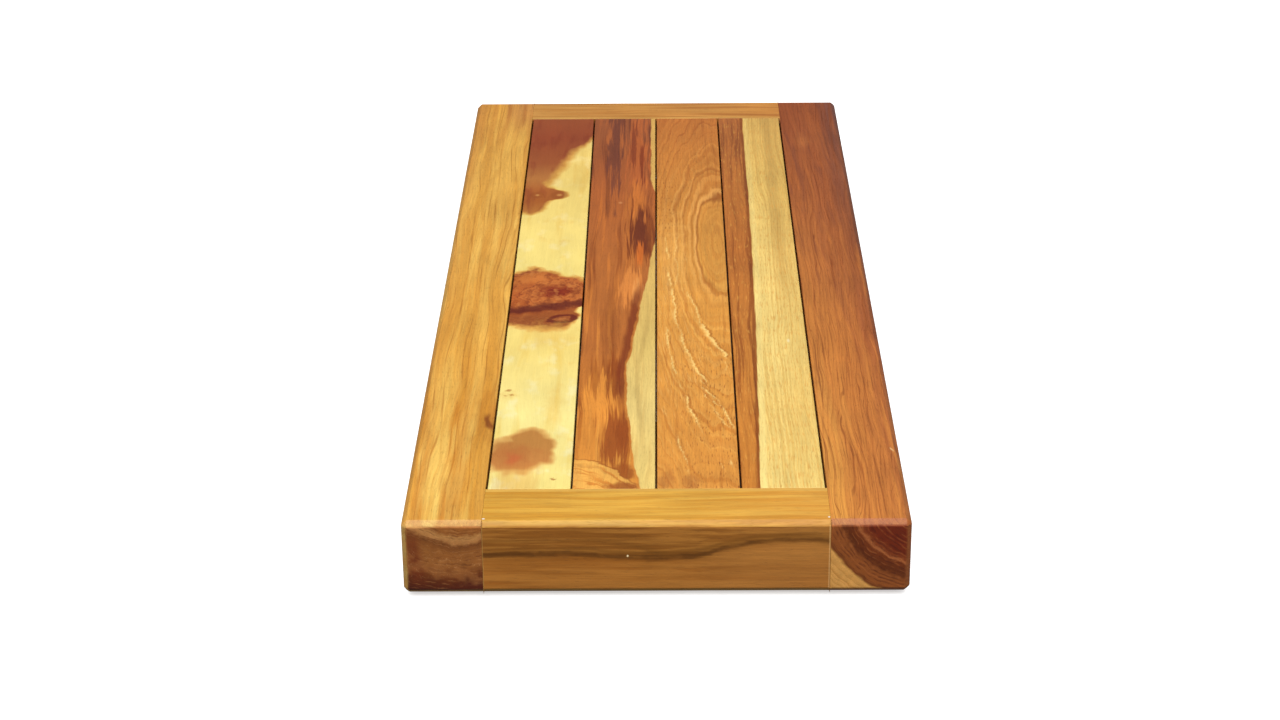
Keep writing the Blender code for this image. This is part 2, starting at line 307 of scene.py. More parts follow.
class Graph:
    """The nodes of one material, made from formulas."""

    def __init__(self, name):
        self.material = bpy.data.materials.new(name)
        self.material.use_nodes = True
        self.tree = self.material.node_tree
        self.shader = self.tree.nodes["Principled BSDF"]

    def node(self, kind, **settings):
        """A new node with these properties."""
        made = self.tree.nodes.new(kind)
        for key, value in settings.items():
            setattr(made, key, value)
        return made

    def feed(self, socket, value):
        """Connect a field to a socket, or set a constant on it."""
        if isinstance(value, Field):
            self.tree.links.new(value.socket, socket)
        else:
            socket.default_value = value

    def set(self, name, value):
        """Feed one of the shader's inputs."""
        self.feed(self.shader.inputs[name], value)

    def math(self, operation, *values):
        """One of Blender's math operations on fields and numbers."""
        node = self.node("ShaderNodeMath", operation=operation)
        for socket, value in zip(node.inputs, values):
            self.feed(socket, value)
        return Field(self, node.outputs[0])

    def split(self, output):
        """A vector's X, Y and Z."""
        node = self.node("ShaderNodeSeparateXYZ")
        self.tree.links.new(output, node.inputs[0])
        return [Field(self, part) for part in node.outputs]

    def place(self):
        """The row frame's X, Y and Z at the surface, in millimetres."""
        coordinates = self.node("ShaderNodeTexCoord")
        return [part / MM for part in self.split(coordinates.outputs["Object"])]

    def facing(self):
        """How far the surface faces along X, Y and Z, forwards or backwards: 0 to 1 each."""
        normal = self.node("ShaderNodeNewGeometry").outputs["True Normal"]
        return [self.math("ABSOLUTE", part) for part in self.split(normal)]

    def attribute(self, name):
        """A value stored on the mesh."""
        node = self.node("ShaderNodeAttribute", attribute_name=name)
        return Field(self, node.outputs["Fac"])

    def vector(self, x, y, z):
        node = self.node("ShaderNodeCombineXYZ")
        for socket, value in zip(node.inputs, (x, y, z)):
            self.feed(socket, value)
        return node.outputs[0]

    def noise(self, x, y, z=0.0, detail=2.0, rough=0.5):
        """Soft random values around 0, mostly within -0.5 to 0.5."""
        node = self.node("ShaderNodeTexNoise")
        self.tree.links.new(self.vector(x, y, z), node.inputs["Vector"])
        for name, value in (("Scale", 1.0), ("Detail", detail), ("Roughness", rough)):
            node.inputs[name].default_value = value
        return (Field(self, node.outputs["Fac"]) - 0.5) * 2.0

    def length(self, x, y, z=0.0):
        """The length of a vector."""
        node = self.node("ShaderNodeVectorMath", operation="LENGTH")
        self.tree.links.new(self.vector(x, y, z), node.inputs[0])
        return Field(self, node.outputs["Value"])

    def mix(self, share, first, second):
        """One colour turning into another as share goes from 0 to 1."""
        node = self.node("ShaderNodeMix", data_type="RGBA")
        for socket, value in zip((0, 6, 7), (share, first, second)):
            self.feed(node.inputs[socket], value)
        return Field(self, node.outputs[2])

    def shade(self, colour, amount):
        """The colour times a brightness that varies."""
        node = self.node("ShaderNodeVectorMath", operation="SCALE")
        self.feed(node.inputs[0], colour)
        self.feed(node.inputs["Scale"], amount)
        return Field(self, node.outputs[0])

    def bump(self, height):
        """Relief, with its height in millimetres."""
        node = self.node("ShaderNodeBump")
        node.inputs["Strength"].default_value = 1.0
        node.inputs["Distance"].default_value = MM
        self.feed(node.inputs["Height"], height)
        self.tree.links.new(node.outputs[0], self.shader.inputs["Normal"])


# ================================================================ wood in general

class Board(Graph):
    """The wood of one board, as a solid pattern that its faces cut through."""

    def __init__(self, node, runs_across=False):
        super().__init__(node + "_wood")
        self.seed = SEEDS[node]
        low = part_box(node)[0]
        x, y, z = self.place()
        face_x, face_y, _ = self.facing()
        self.down = TOP / MM - z
        if runs_across:
            self.across = y - low.y / MM
            self.along = x - OPENING_LEFT / MM
            self.face_end, self.face_side = face_x, face_y
        else:
            self.across = x - low.x / MM
            self.along = MAT_REAR - y
            self.face_end, self.face_side = face_y, face_x
        # Across the board, but following wide and narrow bends of the grain
        self.bent = self.across + self.soft(45, 160) * 6.0 + self.soft(12, 60) * 1.4

    def soft(self, width, length, offset=0.0, detail=1.0):
        """Random values that change slowly, with this size across and along the grain."""
        return self.noise(self.across / width + offset, self.along / length,
                          self.down / width + self.seed, detail)

    def streak(self, width, length, offset=0.0, detail=2.0, rough=0.55):
        """Random values in long streaks that follow the bends of the grain."""
        return self.noise(self.bent / width + offset, self.along / length,
                          self.down / width + self.seed, detail, rough)

    def from_pith(self, across, down, wander=4.0, length=150):
        """Distance to the tree's middle, which the yearly rings follow."""
        swerve = self.soft(18, length, 5.0, 2.0) * wander
        return self.length(self.across - across, self.down - down) + swerve

    def rings(self, radius, spacing, offset=0.0):
        """0 to 1: each ring darkens slowly outwards and ends in a crisp edge."""
        count = radius / spacing + self.noise(radius / spacing / 3, offset, self.seed) * 1.5
        within = self.math("FRACT", count)
        strength = 0.55 + self.noise(self.math("FLOOR", count) * 3.7, self.along / 260, offset)
        return within.step(0.25, 0.92) * within.fall(0.93, 1.0) * strength

    def thin_lines(self, radius, spacing, offset=0.0, width=0.10):
        """0 to 1: thin, broken lines along the yearly rings."""
        count = radius / spacing + self.noise(radius / spacing / 2, offset, self.seed) * 1.2
        broken = self.streak(6, 70, offset + 3.0).step(-0.25, 0.25)
        return self.math("FRACT", count).band(0.5, width * 0.3, width) * broken

    def tones(self, *stops):
        """Colours seen along the board's top, each as (place along it, red, green, blue)."""
        return self.along.ramp(*((stop[0], tone(*stop[1:], stop[0])) for stop in stops))

    def line(self, *points):
        """A line down the board: how far across it is, for each (place along, across)."""
        return self.along.curve(*points)

    def oval(self, across, along, tilt=0.0):
        """Distance from an ellipse's middle, 1 at its edge, from (middle, half size) pairs."""
        beside = self.across - across[0]
        below = self.along - along[0]
        return self.length((beside - below * tilt) / across[1], below / along[1])

    def cloud(self, across, along, soft=0.35, ragged=0.35):
        """1 inside an oval with a soft, wavering edge."""
        edge = self.oval(across, along) + self.soft(9, 14, 11.0, 2.0) * ragged * 2
        return edge.fall(1.0 - soft, 1.0 + soft)

    def flame(self, across, along, width=2.2, length=60, ragged=1.5):
        """1 inside an oval whose edge breaks up into long tongues along the grain."""
        inside = (1.0 - self.oval(across, along)) * 1.1
        tongues = self.streak(width, length, across[0] / 5, 2.0, 0.6)
        wisps = self.streak(0.8, length * 0.6, across[0] / 3, 2.0, 0.6)
        return (inside + tongues * ragged + wisps * ragged * 0.5).step(-0.15, 0.50)

    def melt(self, colour, amount, fringe, inside):
        """Lays one colour over another, through a fringe colour where the amount is middling."""
        return colour.coats((amount.step(0.0, 0.55), fringe), (amount.step(0.35, 1.0), inside))

    def end_chamfer(self):
        """1 on the chamfer between the top and the ends."""
        return self.face_end.band(0.66, 0.16, 0.14)

    def finish(self, colour, end_colour=None, sheen=0.45, lifted=0.0, fibre=1.0):
        """Adds what all the timber shares: fibres, open pores, end grain and an oiled surface."""
        if end_colour is None:
            end_colour = self.shade(colour, 0.6)
        fibres = self.streak(0.55, 18, 2.0) * fibre
        threads = self.streak(1.7, 75, 4.0) * fibre
        glow = self.soft(26, 55, 6.0, 2.0)
        pores = self.streak(0.42, 6.0, 7.0, 1.0).step(0.20, 0.42) * fibre
        colour = self.shade(colour, 1.0 + fibres * 0.26 + threads * 0.22 + glow * 0.18
                            - pores * 0.20)
        cut = self.noise(self.across / 0.5, self.down / 0.5, self.along / 3, 2.0)
        clouds = self.noise(self.across / 4, self.down / 4, self.along / 9, 3.0, 0.6)
        holes = self.noise(self.across / 0.34, self.down / 0.34, 0.0, 0.0).step(0.30, 0.45)
        end_colour = self.shade(end_colour, 1.0 + cut * 0.26 + clouds * 0.24 - holes * 0.22)
        ends = self.face_end.step(0.72, 0.9)
        self.set("Base Color", self.mix(ends, colour, end_colour))
        worn = self.soft(30, 60, 9.0)
        self.set("Roughness", sheen + fibres * 0.12 + worn * 0.10 + pores * 0.15 + ends * 0.10)
        self.set("Specular IOR Level", 0.24)
        self.set("Coat Weight", 0.04)
        self.set("Coat Roughness", 0.30)
        self.bump(fibres * 0.035 + threads * 0.03 - pores * 0.05 + lifted
                  + (cut * 0.06 - holes * 0.08) * ends)
        return self.material


# ================================================================ the frame's wood

def left_stile_wood():
    """Golden, with long wavy streaks; its end shows a pale ring high up and a dark foot."""
    board = Board("left_stile")
    across, along, down = board.across, board.along, board.down
    gold = board.tones((0, 220, 160, 74), (60, 226, 172, 84), (360, 242, 192, 98),
                       (510, 238, 182, 88), (762, 254, 212, 114))
    tan = board.tones((0, 204, 142, 68), (210, 218, 160, 74), (360, 224, 164, 76),
                      (610, 218, 152, 62), (762, 240, 178, 80))
    colour = board.mix(board.streak(9, 260, detail=3.0).step(-0.22, 0.26), tan, gold)
    pith = (35, -35)
    radius = board.from_pith(*pith, 9.0)
    lines = board.thin_lines(board.bent + board.soft(16, 220, 3.0) * 7, 5.5)
    veins = board.streak(1.4, 190, 13.0, 3.0).step(0.18, 0.38)
    outer = across.fall(2, 16) * board.line((0, 0.75), (360, 0.25), (762, 0.2))
    inner = (across + board.streak(5, 110) * 10).step(34, 43) * along.step(540, 620)
    rear = (across + board.streak(4, 60) * 8).step(22, 36) * along.fall(10, 100)
    seams = (board.bent.band(28, 0.4, 2.0) * along.fall(20, 60)
             + board.bent.band(41, 0.5, 2.6) * along.fall(40, 80))
    sway = board.soft(9, 46, 2.0) * 5
    bands = ((across + sway).band(8, 1.2, 5.0) * along.step(560, 680)
             + (across + sway).band(30, 2.5, 6.0) * along.step(560, 640)
             + (across - sway).band(22, 0.5, 2.5) * along.step(500, 600) * 0.6)
    eye = board.oval((53, 1), (614, 2.6)) + board.soft(5, 15) * 3
    arc = eye.band(9.5, 0.8, 3.0) * along.band(626, 5, 11)
    colour = colour.coats(
        (board.rings(radius, 3.1) * 0.45, 206, 142, 62),
        (lines * 0.6, 172, 112, 48),
        (veins * 0.3, 188, 124, 54),
        (outer, 206, 142, 72, 210),
        (inner * 0.75, 214, 148, 60, 650),
        (rear * 0.8, 200, 140, 78, 40),
        (seams * 0.55, 168, 104, 54, 40),
        (bands * 0.5, 208, 128, 46, 660),
        (eye.fall(5, 13) * 0.55, 190, 116, 50, 620),
        (arc * 0.85, 136, 72, 34, 620),
        (eye.band(15, 0.5, 4.5) * 0.25, 180, 110, 46, 620),
        # The last coat is a painted highlight: a pale, less saturated sheen on the end chamfers
        (board.end_chamfer() * 0.3, 238, 190, 128, 762))

    radius = board.from_pith(*pith, 2.2, 60) + board.soft(7, 40, 2.0, 2.0) * 2.5
    end = (radius + board.soft(1.6, 30, 3.0, 3.0) * 1.6).tones(
        FACE, (36, 146, 88, 42), (43, 136, 84, 42), (46, 172, 122, 70), (48.5, 158, 106, 60),
        (51, 112, 66, 34), (56, 136, 84, 42), (64, 138, 86, 44), (71, 112, 62, 32),
        (78, 86, 42, 22), (86, 66, 30, 16))
    red = (across - down * 0.1).band(5.0, 1.0, 6.0) * down.band(24, 9, 12)
    corner = (across * 0.7 + down * 1.3 + board.soft(8, 30, 2.0, 3.0) * 16).step(66, 92)
    sweep = (down - across * 0.25 + board.soft(7, 30, 5.0, 2.0) * 8).band(27, 1.0, 5.0)
    scar = board.soft(1.0, 9, 8.0, 2.0).step(0.26, 0.44) * down.band(28, 6, 6)
    end = end.coats(
        (board.thin_lines(radius, 2.4, 2.0, 0.16) * 0.6, 96, 54, 30, FACE),
        (board.thin_lines(radius, 3.3, 7.0, 0.14) * 0.35, 172, 118, 70, FACE),
        (red * 0.75, 104, 48, 28, FACE),
        (corner * 0.85, 76, 34, 18, FACE),
        (sweep * 0.3, 170, 112, 62, FACE),
        (scar * 0.4, 186, 134, 88, FACE))
    return board.finish(colour, end)


def right_stile_wood():
    """Red-brown, lighter along its inner edge; its end shows dark heart over pale sapwood."""
    board = Board("right_stile")
    across, along = board.across, board.along
    board.bent = board.bent - along * 0.03
    inner = board.tones((0, 150, 82, 53), (210, 170, 99, 58), (360, 193, 120, 64),
                        (510, 206, 132, 66), (610, 224, 152, 76), (762, 234, 162, 78))
    middle = board.tones((0, 154, 86, 55), (210, 168, 97, 59), (360, 180, 108, 62),
                         (510, 206, 129, 66), (762, 210, 133, 68))
    outer = board.tones((0, 124, 79, 68), (210, 142, 87, 63), (360, 150, 87, 57),
                        (510, 178, 103, 62), (762, 200, 124, 67))
    lean = board.streak(8, 200) * 16
    colour = board.mix((across + lean).step(4, 24), inner, middle)
    pith = (58, -13.4)
    radius = board.from_pith(*pith, 7.0) - along * 0.02
    lines = board.thin_lines(radius + board.soft(8, 60, 3.0) * 3, 1.7)
    glow = board.streak(4.5, 170, 3.0, 3.0).step(0.02, 0.34)
    veins = board.streak(1.5, 150, 8.0, 3.0).step(0.14, 0.36)
    dusk = board.streak(6, 120, 17.0, 2.0).step(0.04, 0.32) * along.fall(60, 700)
    pale = board.cloud((16, 5), (100, 14), 0.8)
    nick = board.oval((43.5, 0.8), (667, 3.2), 0.35)
    colour = colour.coats(
        ((across + lean).step(26, 46), outer),
        (board.rings(radius, 3.4) * 0.55, 142, 76, 44),
        (lines * 0.55, 122, 60, 38),
        (glow * 0.5, board.tones((0, 168, 94, 56), (360, 204, 126, 66), (762, 236, 156, 76))),
        (veins * 0.55, 128, 66, 42),
        (dusk * 0.5, 124, 72, 56, 100),
        (pale * 0.35, 200, 124, 70, 100),
        (nick.fall(0.5, 1.2) * 0.8, 238, 190, 130, 667),
        (board.end_chamfer() * 0.5, 176, 96, 62, 762))

    radius = board.from_pith(*pith, 2.0, 60) + board.soft(9, 40, 2.0) * 2
    heart = (radius + board.soft(2.4, 30, 3.0, 3.0) * 2.4).tones(
        FACE, (24, 100, 40, 22), (38, 102, 42, 23), (42, 118, 58, 32), (44, 152, 88, 50),
        (46, 106, 52, 28), (52, 88, 44, 24), (57, 132, 74, 38), (66, 128, 72, 36))
    heart = heart.coats(
        (board.thin_lines(radius, 2.6, 1.0, 0.2) * 0.5, 64, 30, 17, FACE),
        (board.thin_lines(radius, 4.1, 5.0, 0.12) * 0.35, 160, 94, 52, FACE))
    sap = board.mix(board.rings(radius, 2.6, 4.0), tone(194, 142, 76, FACE),
                    tone(158, 100, 44, FACE))
    edge = radius + board.soft(5, 30, 4.0) * 0.8
    end = board.mix(edge.step(64.6, 66.8), heart, sap)
    end = end.coat(edge.band(64.6, 0.3, 1.2) * 0.5, 84, 44, 22, FACE)
    return board.finish(colour, end)


def rail_face(board, from_face):
    """The front face: an olive band over a dark wavy line, and plain orange-brown below."""
    along, down = board.along, board.down
    sway = board.soft(14, 26, 3.0, 2.0) * 1.6
    main = along.curve((0, 22), (50, 21.6), (88, 24), (112, 23.6), (128, 22.6), (141, 19),
                       (155, 15.8), (168, 13.2), (190, 12.6), (208, 13.8))
    upper = along.curve((0, 13), (50, 12.5), (80, 14), (105, 20), (125, 24), (208, 30))
    level = down - main + sway + from_face * 0.4
    over = board.mix(board.streak(3.0, 80, 5.0, 3.0).step(-0.2, 0.22), tone(126, 79, 34, FACE),
                     tone(154, 102, 46, FACE))
    under = board.mix(board.streak(5, 140, 6.0, 3.0).step(-0.3, 0.25), tone(140, 86, 36, FACE),
                      tone(157, 103, 47, FACE))
    under = under.coat(along.step(90, 190) * 0.4, 170, 116, 60, FACE)
    over = over.coat(along.step(120, 200) * 0.3, 164, 114, 58, FACE)
    face = board.mix(level.step(-1.0, 1.5), over, under)
    thick = along.curve((0, 0.5), (50, 0.9), (75, 0.3), (110, 1.3), (140, 0.5), (208, 0.4))
    fade = board.soft(6, 12, 7.0, 3.0).step(-0.35, 0.2)
    ragged = level + board.streak(1.6, 14, 9.0, 3.0) * 1.4
    dark = ragged.band(0.0, thick, 2.0) * (fade * 0.5 + 0.5)
    haze = level.band(-1.0, 1.0, 4.5) * 0.45
    faint = (down - upper + sway).band(0.0, 0.5, 2.2) * along.fall(96, 118) * 0.45
    echo = level.band(-3.6, 0.3, 1.4) * along.band(120, 60, 30) * 0.35
    speck = board.length((along - 87) / 0.7, (down - 23) / 0.9)
    face = face.coats(
        (haze + faint + echo, 112, 72, 32, FACE),
        (dark * 0.72, 84, 51, 24, FACE),
        (down.step(43.5, 47) * 0.5, 110, 66, 30, FACE),
        (speck.fall(0.5, 1.1) * 0.9, 226, 206, 160, FACE))
    glue = along.band(0.0, 0.15, 0.35) + along.band(207.8, 0.2, 0.45)
    return face.coat(glue * 0.6, 196, 152, 98, FACE)


def rail_wood(end):
    """Golden, with a painted highlight along its inner edge; the outer face shows a dark wavy line,
    and white painted glints on the glue mark the corner joints.
    """
    board = Board(f"{end}_rail", runs_across=True)
    across, along = board.across, board.along
    from_face = across if end == "front" else RAIL_WIDTH - across
    if end == "front":
        light = along.tones(740, (0, 226, 172, 74), (110, 236, 182, 82), (208, 232, 174, 82))
        deep = along.tones(740, (0, 212, 152, 60), (110, 218, 158, 64), (208, 218, 152, 66))
    else:
        light = along.tones(20, (0, 210, 156, 86), (208, 204, 142, 74))
        deep = along.tones(20, (0, 188, 130, 66), (208, 184, 118, 62))
    colour = board.mix(board.streak(4.5, 110, detail=3.0).step(-0.26, 0.28), deep, light)
    veins = board.streak(1.2, 60, 3.0, 3.0).step(0.2, 0.4)
    # Painted highlight: a pale band along the rail's inner edge, where its arris catches the light
    edge = from_face.band(RAIL_WIDTH - 2, 0.8, 1.6)
    colour = colour.coats(
        (veins * 0.25, 186, 128, 48, 740 if end == "front" else 20),
        (edge * 0.35, 244, 202, 112, 700))
    turned = board.face_side.step(0.8, 0.92)
    face = rail_face(board, from_face)
    surface = board.mix(turned, colour, face)
    # Painted glints: small white spots of light on the glue at the front rail's corner joints
    glue_glints = board.length(along - 1.0, (across - 4.6) / 0.8).fall(0.5, 1.3)
    glue_glints = glue_glints + board.length(along - 207.3, (across - 5.4) / 1.3).fall(0.3, 0.9)
    if end == "front":
        surface = surface.coat(glue_glints * 0.9, 255, 250, 240, 740)
    return board.finish(surface, face, fibre=0.8)


# ================================================================ the slats' wood

def slat_1_stain(board, colour):
    """The rear's brown heartwood, which narrows to a soft tip with two pin knots in it."""
    across, along = board.across, board.along
    wobble = board.soft(10, 18, 2.0, 2.0)
    reach = board.line((38, 60), (80, 54), (107, 44), (133, 34), (160, 29), (185, 22), (200, 19),
                       (209, 25), (218, 33), (226, 31), (235, 20), (248, 17), (258, 13), (266, 5),
                       (274, -8), (290, -22), (719, -22))
    soft = board.line((38, 7), (100, 8), (150, 15), (195, 13), (215, 6), (245, 8), (300, 9),
                      (719, 9))
    bay = across.fall(0, 8) * along.step(230, 250) * 1.3
    inside = (reach - across + wobble * 5) / soft + 0.45 - bay
    brown = board.tones((38, 154, 84, 54), (90, 150, 76, 50), (150, 156, 88, 54),
                        (185, 184, 120, 66), (212, 170, 98, 52), (235, 166, 96, 50),
                        (262, 186, 122, 62), (719, 180, 114, 62))
    deep = board.soft(9, 40, 6.0, 3.0).step(0.0, 0.35)
    brown = brown.coat(deep * 0.45, 134, 62, 44, 130)
    fringe = board.tones((38, 200, 140, 74), (185, 216, 162, 80), (300, 230, 184, 96),
                         (719, 230, 184, 96))
    colour = board.melt(colour, inside, fringe, brown)
    for place, size in ((10.3, 1.0), (27.5, 1.2)):
        eye = board.oval((place, size), (221, 1.3 * size)) + wobble * 1.5
        colour = colour.coats(
            (eye.band(4.0, 0.4, 2.6) * 0.35, 140, 76, 40, 220),
            (eye.fall(0.6, 2.4) * 0.6, 212, 156, 90, 220))
    return colour


def slat_1_knot(board, colour):
    """The burr in the middle: a reddish swirl, a dark belt and a small eye below it."""
    across, along = board.across, board.along
    fuzz = board.soft(10, 10, 4.0, 3.0) * 9
    head = across.curve((0, 374), (14, 366), (30, 374), (50.4, 386))
    foot = across.curve((0, 480), (20, 486), (35, 487), (45, 474), (50.4, 457))
    down_in = (along - head + fuzz) / 9
    up_in = (foot - along + fuzz) / 15
    amount = board.math("MINIMUM", down_in, up_in)
    bay = (across + fuzz * 0.6).step(38, 50) * (along - fuzz * 0.6).band(445, 2, 7)
    amount = amount - bay * 1.4

    turn = board.oval((30, 1.0), (413, 1.0), -0.25)
    turn = turn + board.soft(12, 12, 1.0, 3.0) * 18 + board.soft(3.5, 3.5, 5.0, 3.0) * 4
    coils = board.noise(turn / 3.2, 0.0, board.seed, 3.0, 0.7)
    bark = turn.tones(400, (0, 150, 62, 36), (8, 160, 72, 40), (14, 202, 118, 62),
                      (26, 190, 104, 54), (40, 166, 86, 44), (60, 158, 90, 52))
    core = board.cloud((30, 9), (413, 8), 0.6, 0.8)
    crown = board.cloud((12, 14), (388, 12), 0.8, 0.8)
    plume = board.soft(7, 12, 9.0, 3.0)
    slope = along + across * 0.27 + fuzz * 0.9
    belt = slope.band(447, 2.5, 8.0)
    below = slope.step(450, 462)
    bark = bark.coats(
        (coils.step(-0.02, 0.22) * 0.75, 118, 50, 30, 400),
        ((-coils).step(0.08, 0.32) * 0.6, 224, 142, 80, 400),
        (core * 0.65, 124, 44, 30, 410),
        (crown * 0.5, 226, 140, 70, 390),
        (plume.step(0.04, 0.34) * 0.6, 134, 62, 36, 420),
        ((-plume).step(0.1, 0.36) * 0.5, 212, 134, 72, 420),
        (belt * 0.85, 100, 44, 32, 440),
        (below * 0.7, 158, 90, 50, 460))
    colour = board.melt(colour, amount, tone(226, 168, 86, 430), bark)

    eye = board.oval((37.5, 1.3), (461, 1.0), -0.4) + board.soft(5, 5, 7.0, 2.0) * 3
    colour = colour.coats(
        (eye.fall(6.0, 10.5) * 0.6, 150, 76, 42, 460),
        (eye.band(6.2, 1.0, 2.0) * 0.8, 104, 42, 28, 460),
        (eye.fall(2.2, 5.2) * 0.6, 196, 122, 68, 460),
        (eye.band(2.6, 0.3, 1.0) * 0.5, 128, 58, 34, 460))
    knot = amount.step(0.3, 1.0)
    relief = knot * coils * 0.14 - eye.band(6.2, 0.5, 1.4) * 0.12
    return (colour, relief)


def slat_1_blotch(board, colour):
    """The soft brown cloud near the front, and the small marks round it."""
    across, along = board.across, board.along
    edge = board.soft(12, 14, 11.0, 1.0) * 0.35
    near = board.math("MINIMUM", board.oval((16, 24), (673, 28)), board.oval((22, 14), (655, 22)))
    near = board.math("MINIMUM", near, board.oval((27, 15), (664, 24)))
    amount = (1.0 - near + edge) / 0.42 + 0.2
    inside = board.mix(along.step(655, 690), tone(196, 136, 72, 670), tone(204, 136, 74, 670))
    heart = board.cloud((13, 11), (674, 16), 0.6, 0.5)
    inside = inside.coat(heart * 0.6, 190, 112, 62, 680)
    colour = board.melt(colour, amount, tone(232, 182, 104, 670), inside)
    red = board.cloud((13, 4), (679, 7), 0.8, 0.7)
    tail = (across + board.streak(3, 30, 5.0) * 10).band(17, 8, 10)
    tail = tail * along.step(676, 708)
    tint = board.cloud((36, 5), (600, 24), 0.9, 0.8) + board.cloud((30, 16), (488, 16), 0.9, 0.8)
    colour = colour.coats(
        (red * 0.5, 206, 96, 62, 680),
        (tail * 0.45, 226, 166, 84, 700),
        (tint * 0.3, 232, 182, 86, 600))
    for place, size in (((39.3, 706), 1.4), ((5.5, 578), 1.6), ((8.0, 585), 1.2), ((3.5, 586), 0.8)):
        dot = board.length(across - place[0], along - place[1]) + board.soft(2, 2, 8.0) * 2
        colour = colour.coat(dot.fall(size * 0.4, size * 1.7) * 0.75, 176, 106, 50, 600)
    smudge = board.cloud((6, 6), (583, 6), 0.8, 0.9)
    return colour.coat(smudge * 0.35, 214, 156, 70, 600)


def slat_1_wood():
    """Cream sapwood with a brown stain at the rear, a knot in the middle and a front blotch."""
    board = Board("slat_1")
    cream = board.tones((38, 234, 200, 114), (200, 242, 212, 122), (300, 246, 220, 130),
                        (400, 247, 224, 134), (510, 249, 222, 130), (620, 254, 236, 152),
                        (719, 254, 232, 140))
    honey = board.tones((38, 216, 172, 88), (360, 240, 202, 102), (719, 244, 206, 96))
    honeyed = board.streak(10, 120, detail=3.0).step(0.02, 0.5)
    colour = board.mix(honeyed * 0.6, cream, honey)
    pale = board.soft(14, 26, 3.0, 3.0).step(0.04, 0.4)
    ambered = board.soft(12, 22, 13.0, 3.0).step(0.16, 0.5)
    colour = colour.coats(
        (pale * 0.6, board.tones((38, 244, 216, 136), (719, 255, 250, 196))),
        (ambered * 0.35, board.tones((38, 220, 174, 88), (719, 240, 192, 96))))
    colour = slat_1_stain(board, colour)
    colour, relief = slat_1_knot(board, colour)
    colour = slat_1_blotch(board, colour)
    return board.finish(colour, lifted=relief, fibre=0.35)


def slat_2_heart(board):
    """Brown heartwood full of long dark and orange tongues."""
    colour = board.tones((38, 150, 88, 58), (150, 162, 92, 56), (210, 176, 100, 56),
                         (360, 184, 110, 58), (510, 190, 114, 58), (600, 214, 134, 60),
                         (719, 232, 156, 70))
    deep = board.tones((38, 112, 62, 50), (210, 132, 72, 46), (360, 148, 80, 44),
                       (510, 152, 84, 44), (600, 156, 84, 40), (719, 196, 116, 46))
    warm = board.tones((38, 172, 97, 58), (210, 206, 118, 58), (430, 216, 132, 62),
                       (600, 238, 160, 74), (719, 244, 174, 82))
    colour = colour.coats(
        (board.streak(5, 220, detail=3.0).step(0.0, 0.3) * 0.8, deep),
        (board.streak(3.6, 170, 3.0, 3.0).step(0.05, 0.32) * 0.75, warm))
    tongues = (
        # middle and half size across the board, the same along it, how much, and its colour
        ((18, 7), (110, 110), 0.80, (110, 64, 54)),
        ((37, 9), (130, 100), 0.80, (190, 104, 58)),
        ((33, 3), (110, 60), 0.75, (128, 62, 44)),
        ((40, 2), (150, 60), 0.80, (128, 58, 40)),
        ((32, 6), (300, 90), 0.55, (204, 122, 60)),
        ((37, 7), (230, 44), 0.70, (214, 126, 60)),
        ((40, 11), (300, 58), 0.95, (130, 66, 40)),
        ((40, 8), (302, 48), 0.80, (112, 58, 42)),
        ((47, 4), (300, 60), 0.60, (146, 80, 44)),
        ((39, 3), (346, 26), 0.70, (230, 124, 54)),
        ((33, 9), (404, 40), 0.85, (226, 142, 72)),
        ((38, 4), (420, 26), 0.70, (244, 166, 92)),
        ((20, 6), (470, 80), 0.45, (150, 84, 46)),
        ((15, 13), (590, 40), 0.85, (242, 158, 70)),
        ((23, 5), (556, 40), 0.85, (150, 76, 36)),
        ((10, 3), (560, 30), 0.60, (160, 84, 40)),
        ((26, 12), (652, 46), 0.95, (164, 88, 44)),
        ((30, 6), (640, 34), 0.60, (144, 72, 36)),
        ((8, 8), (645, 36), 0.55, (224, 146, 66)),
    )
    for across, along, amount, seen in tongues:
        share = board.flame(across, along) * amount
        colour = colour.coat(share, *seen, along[0])
    return colour


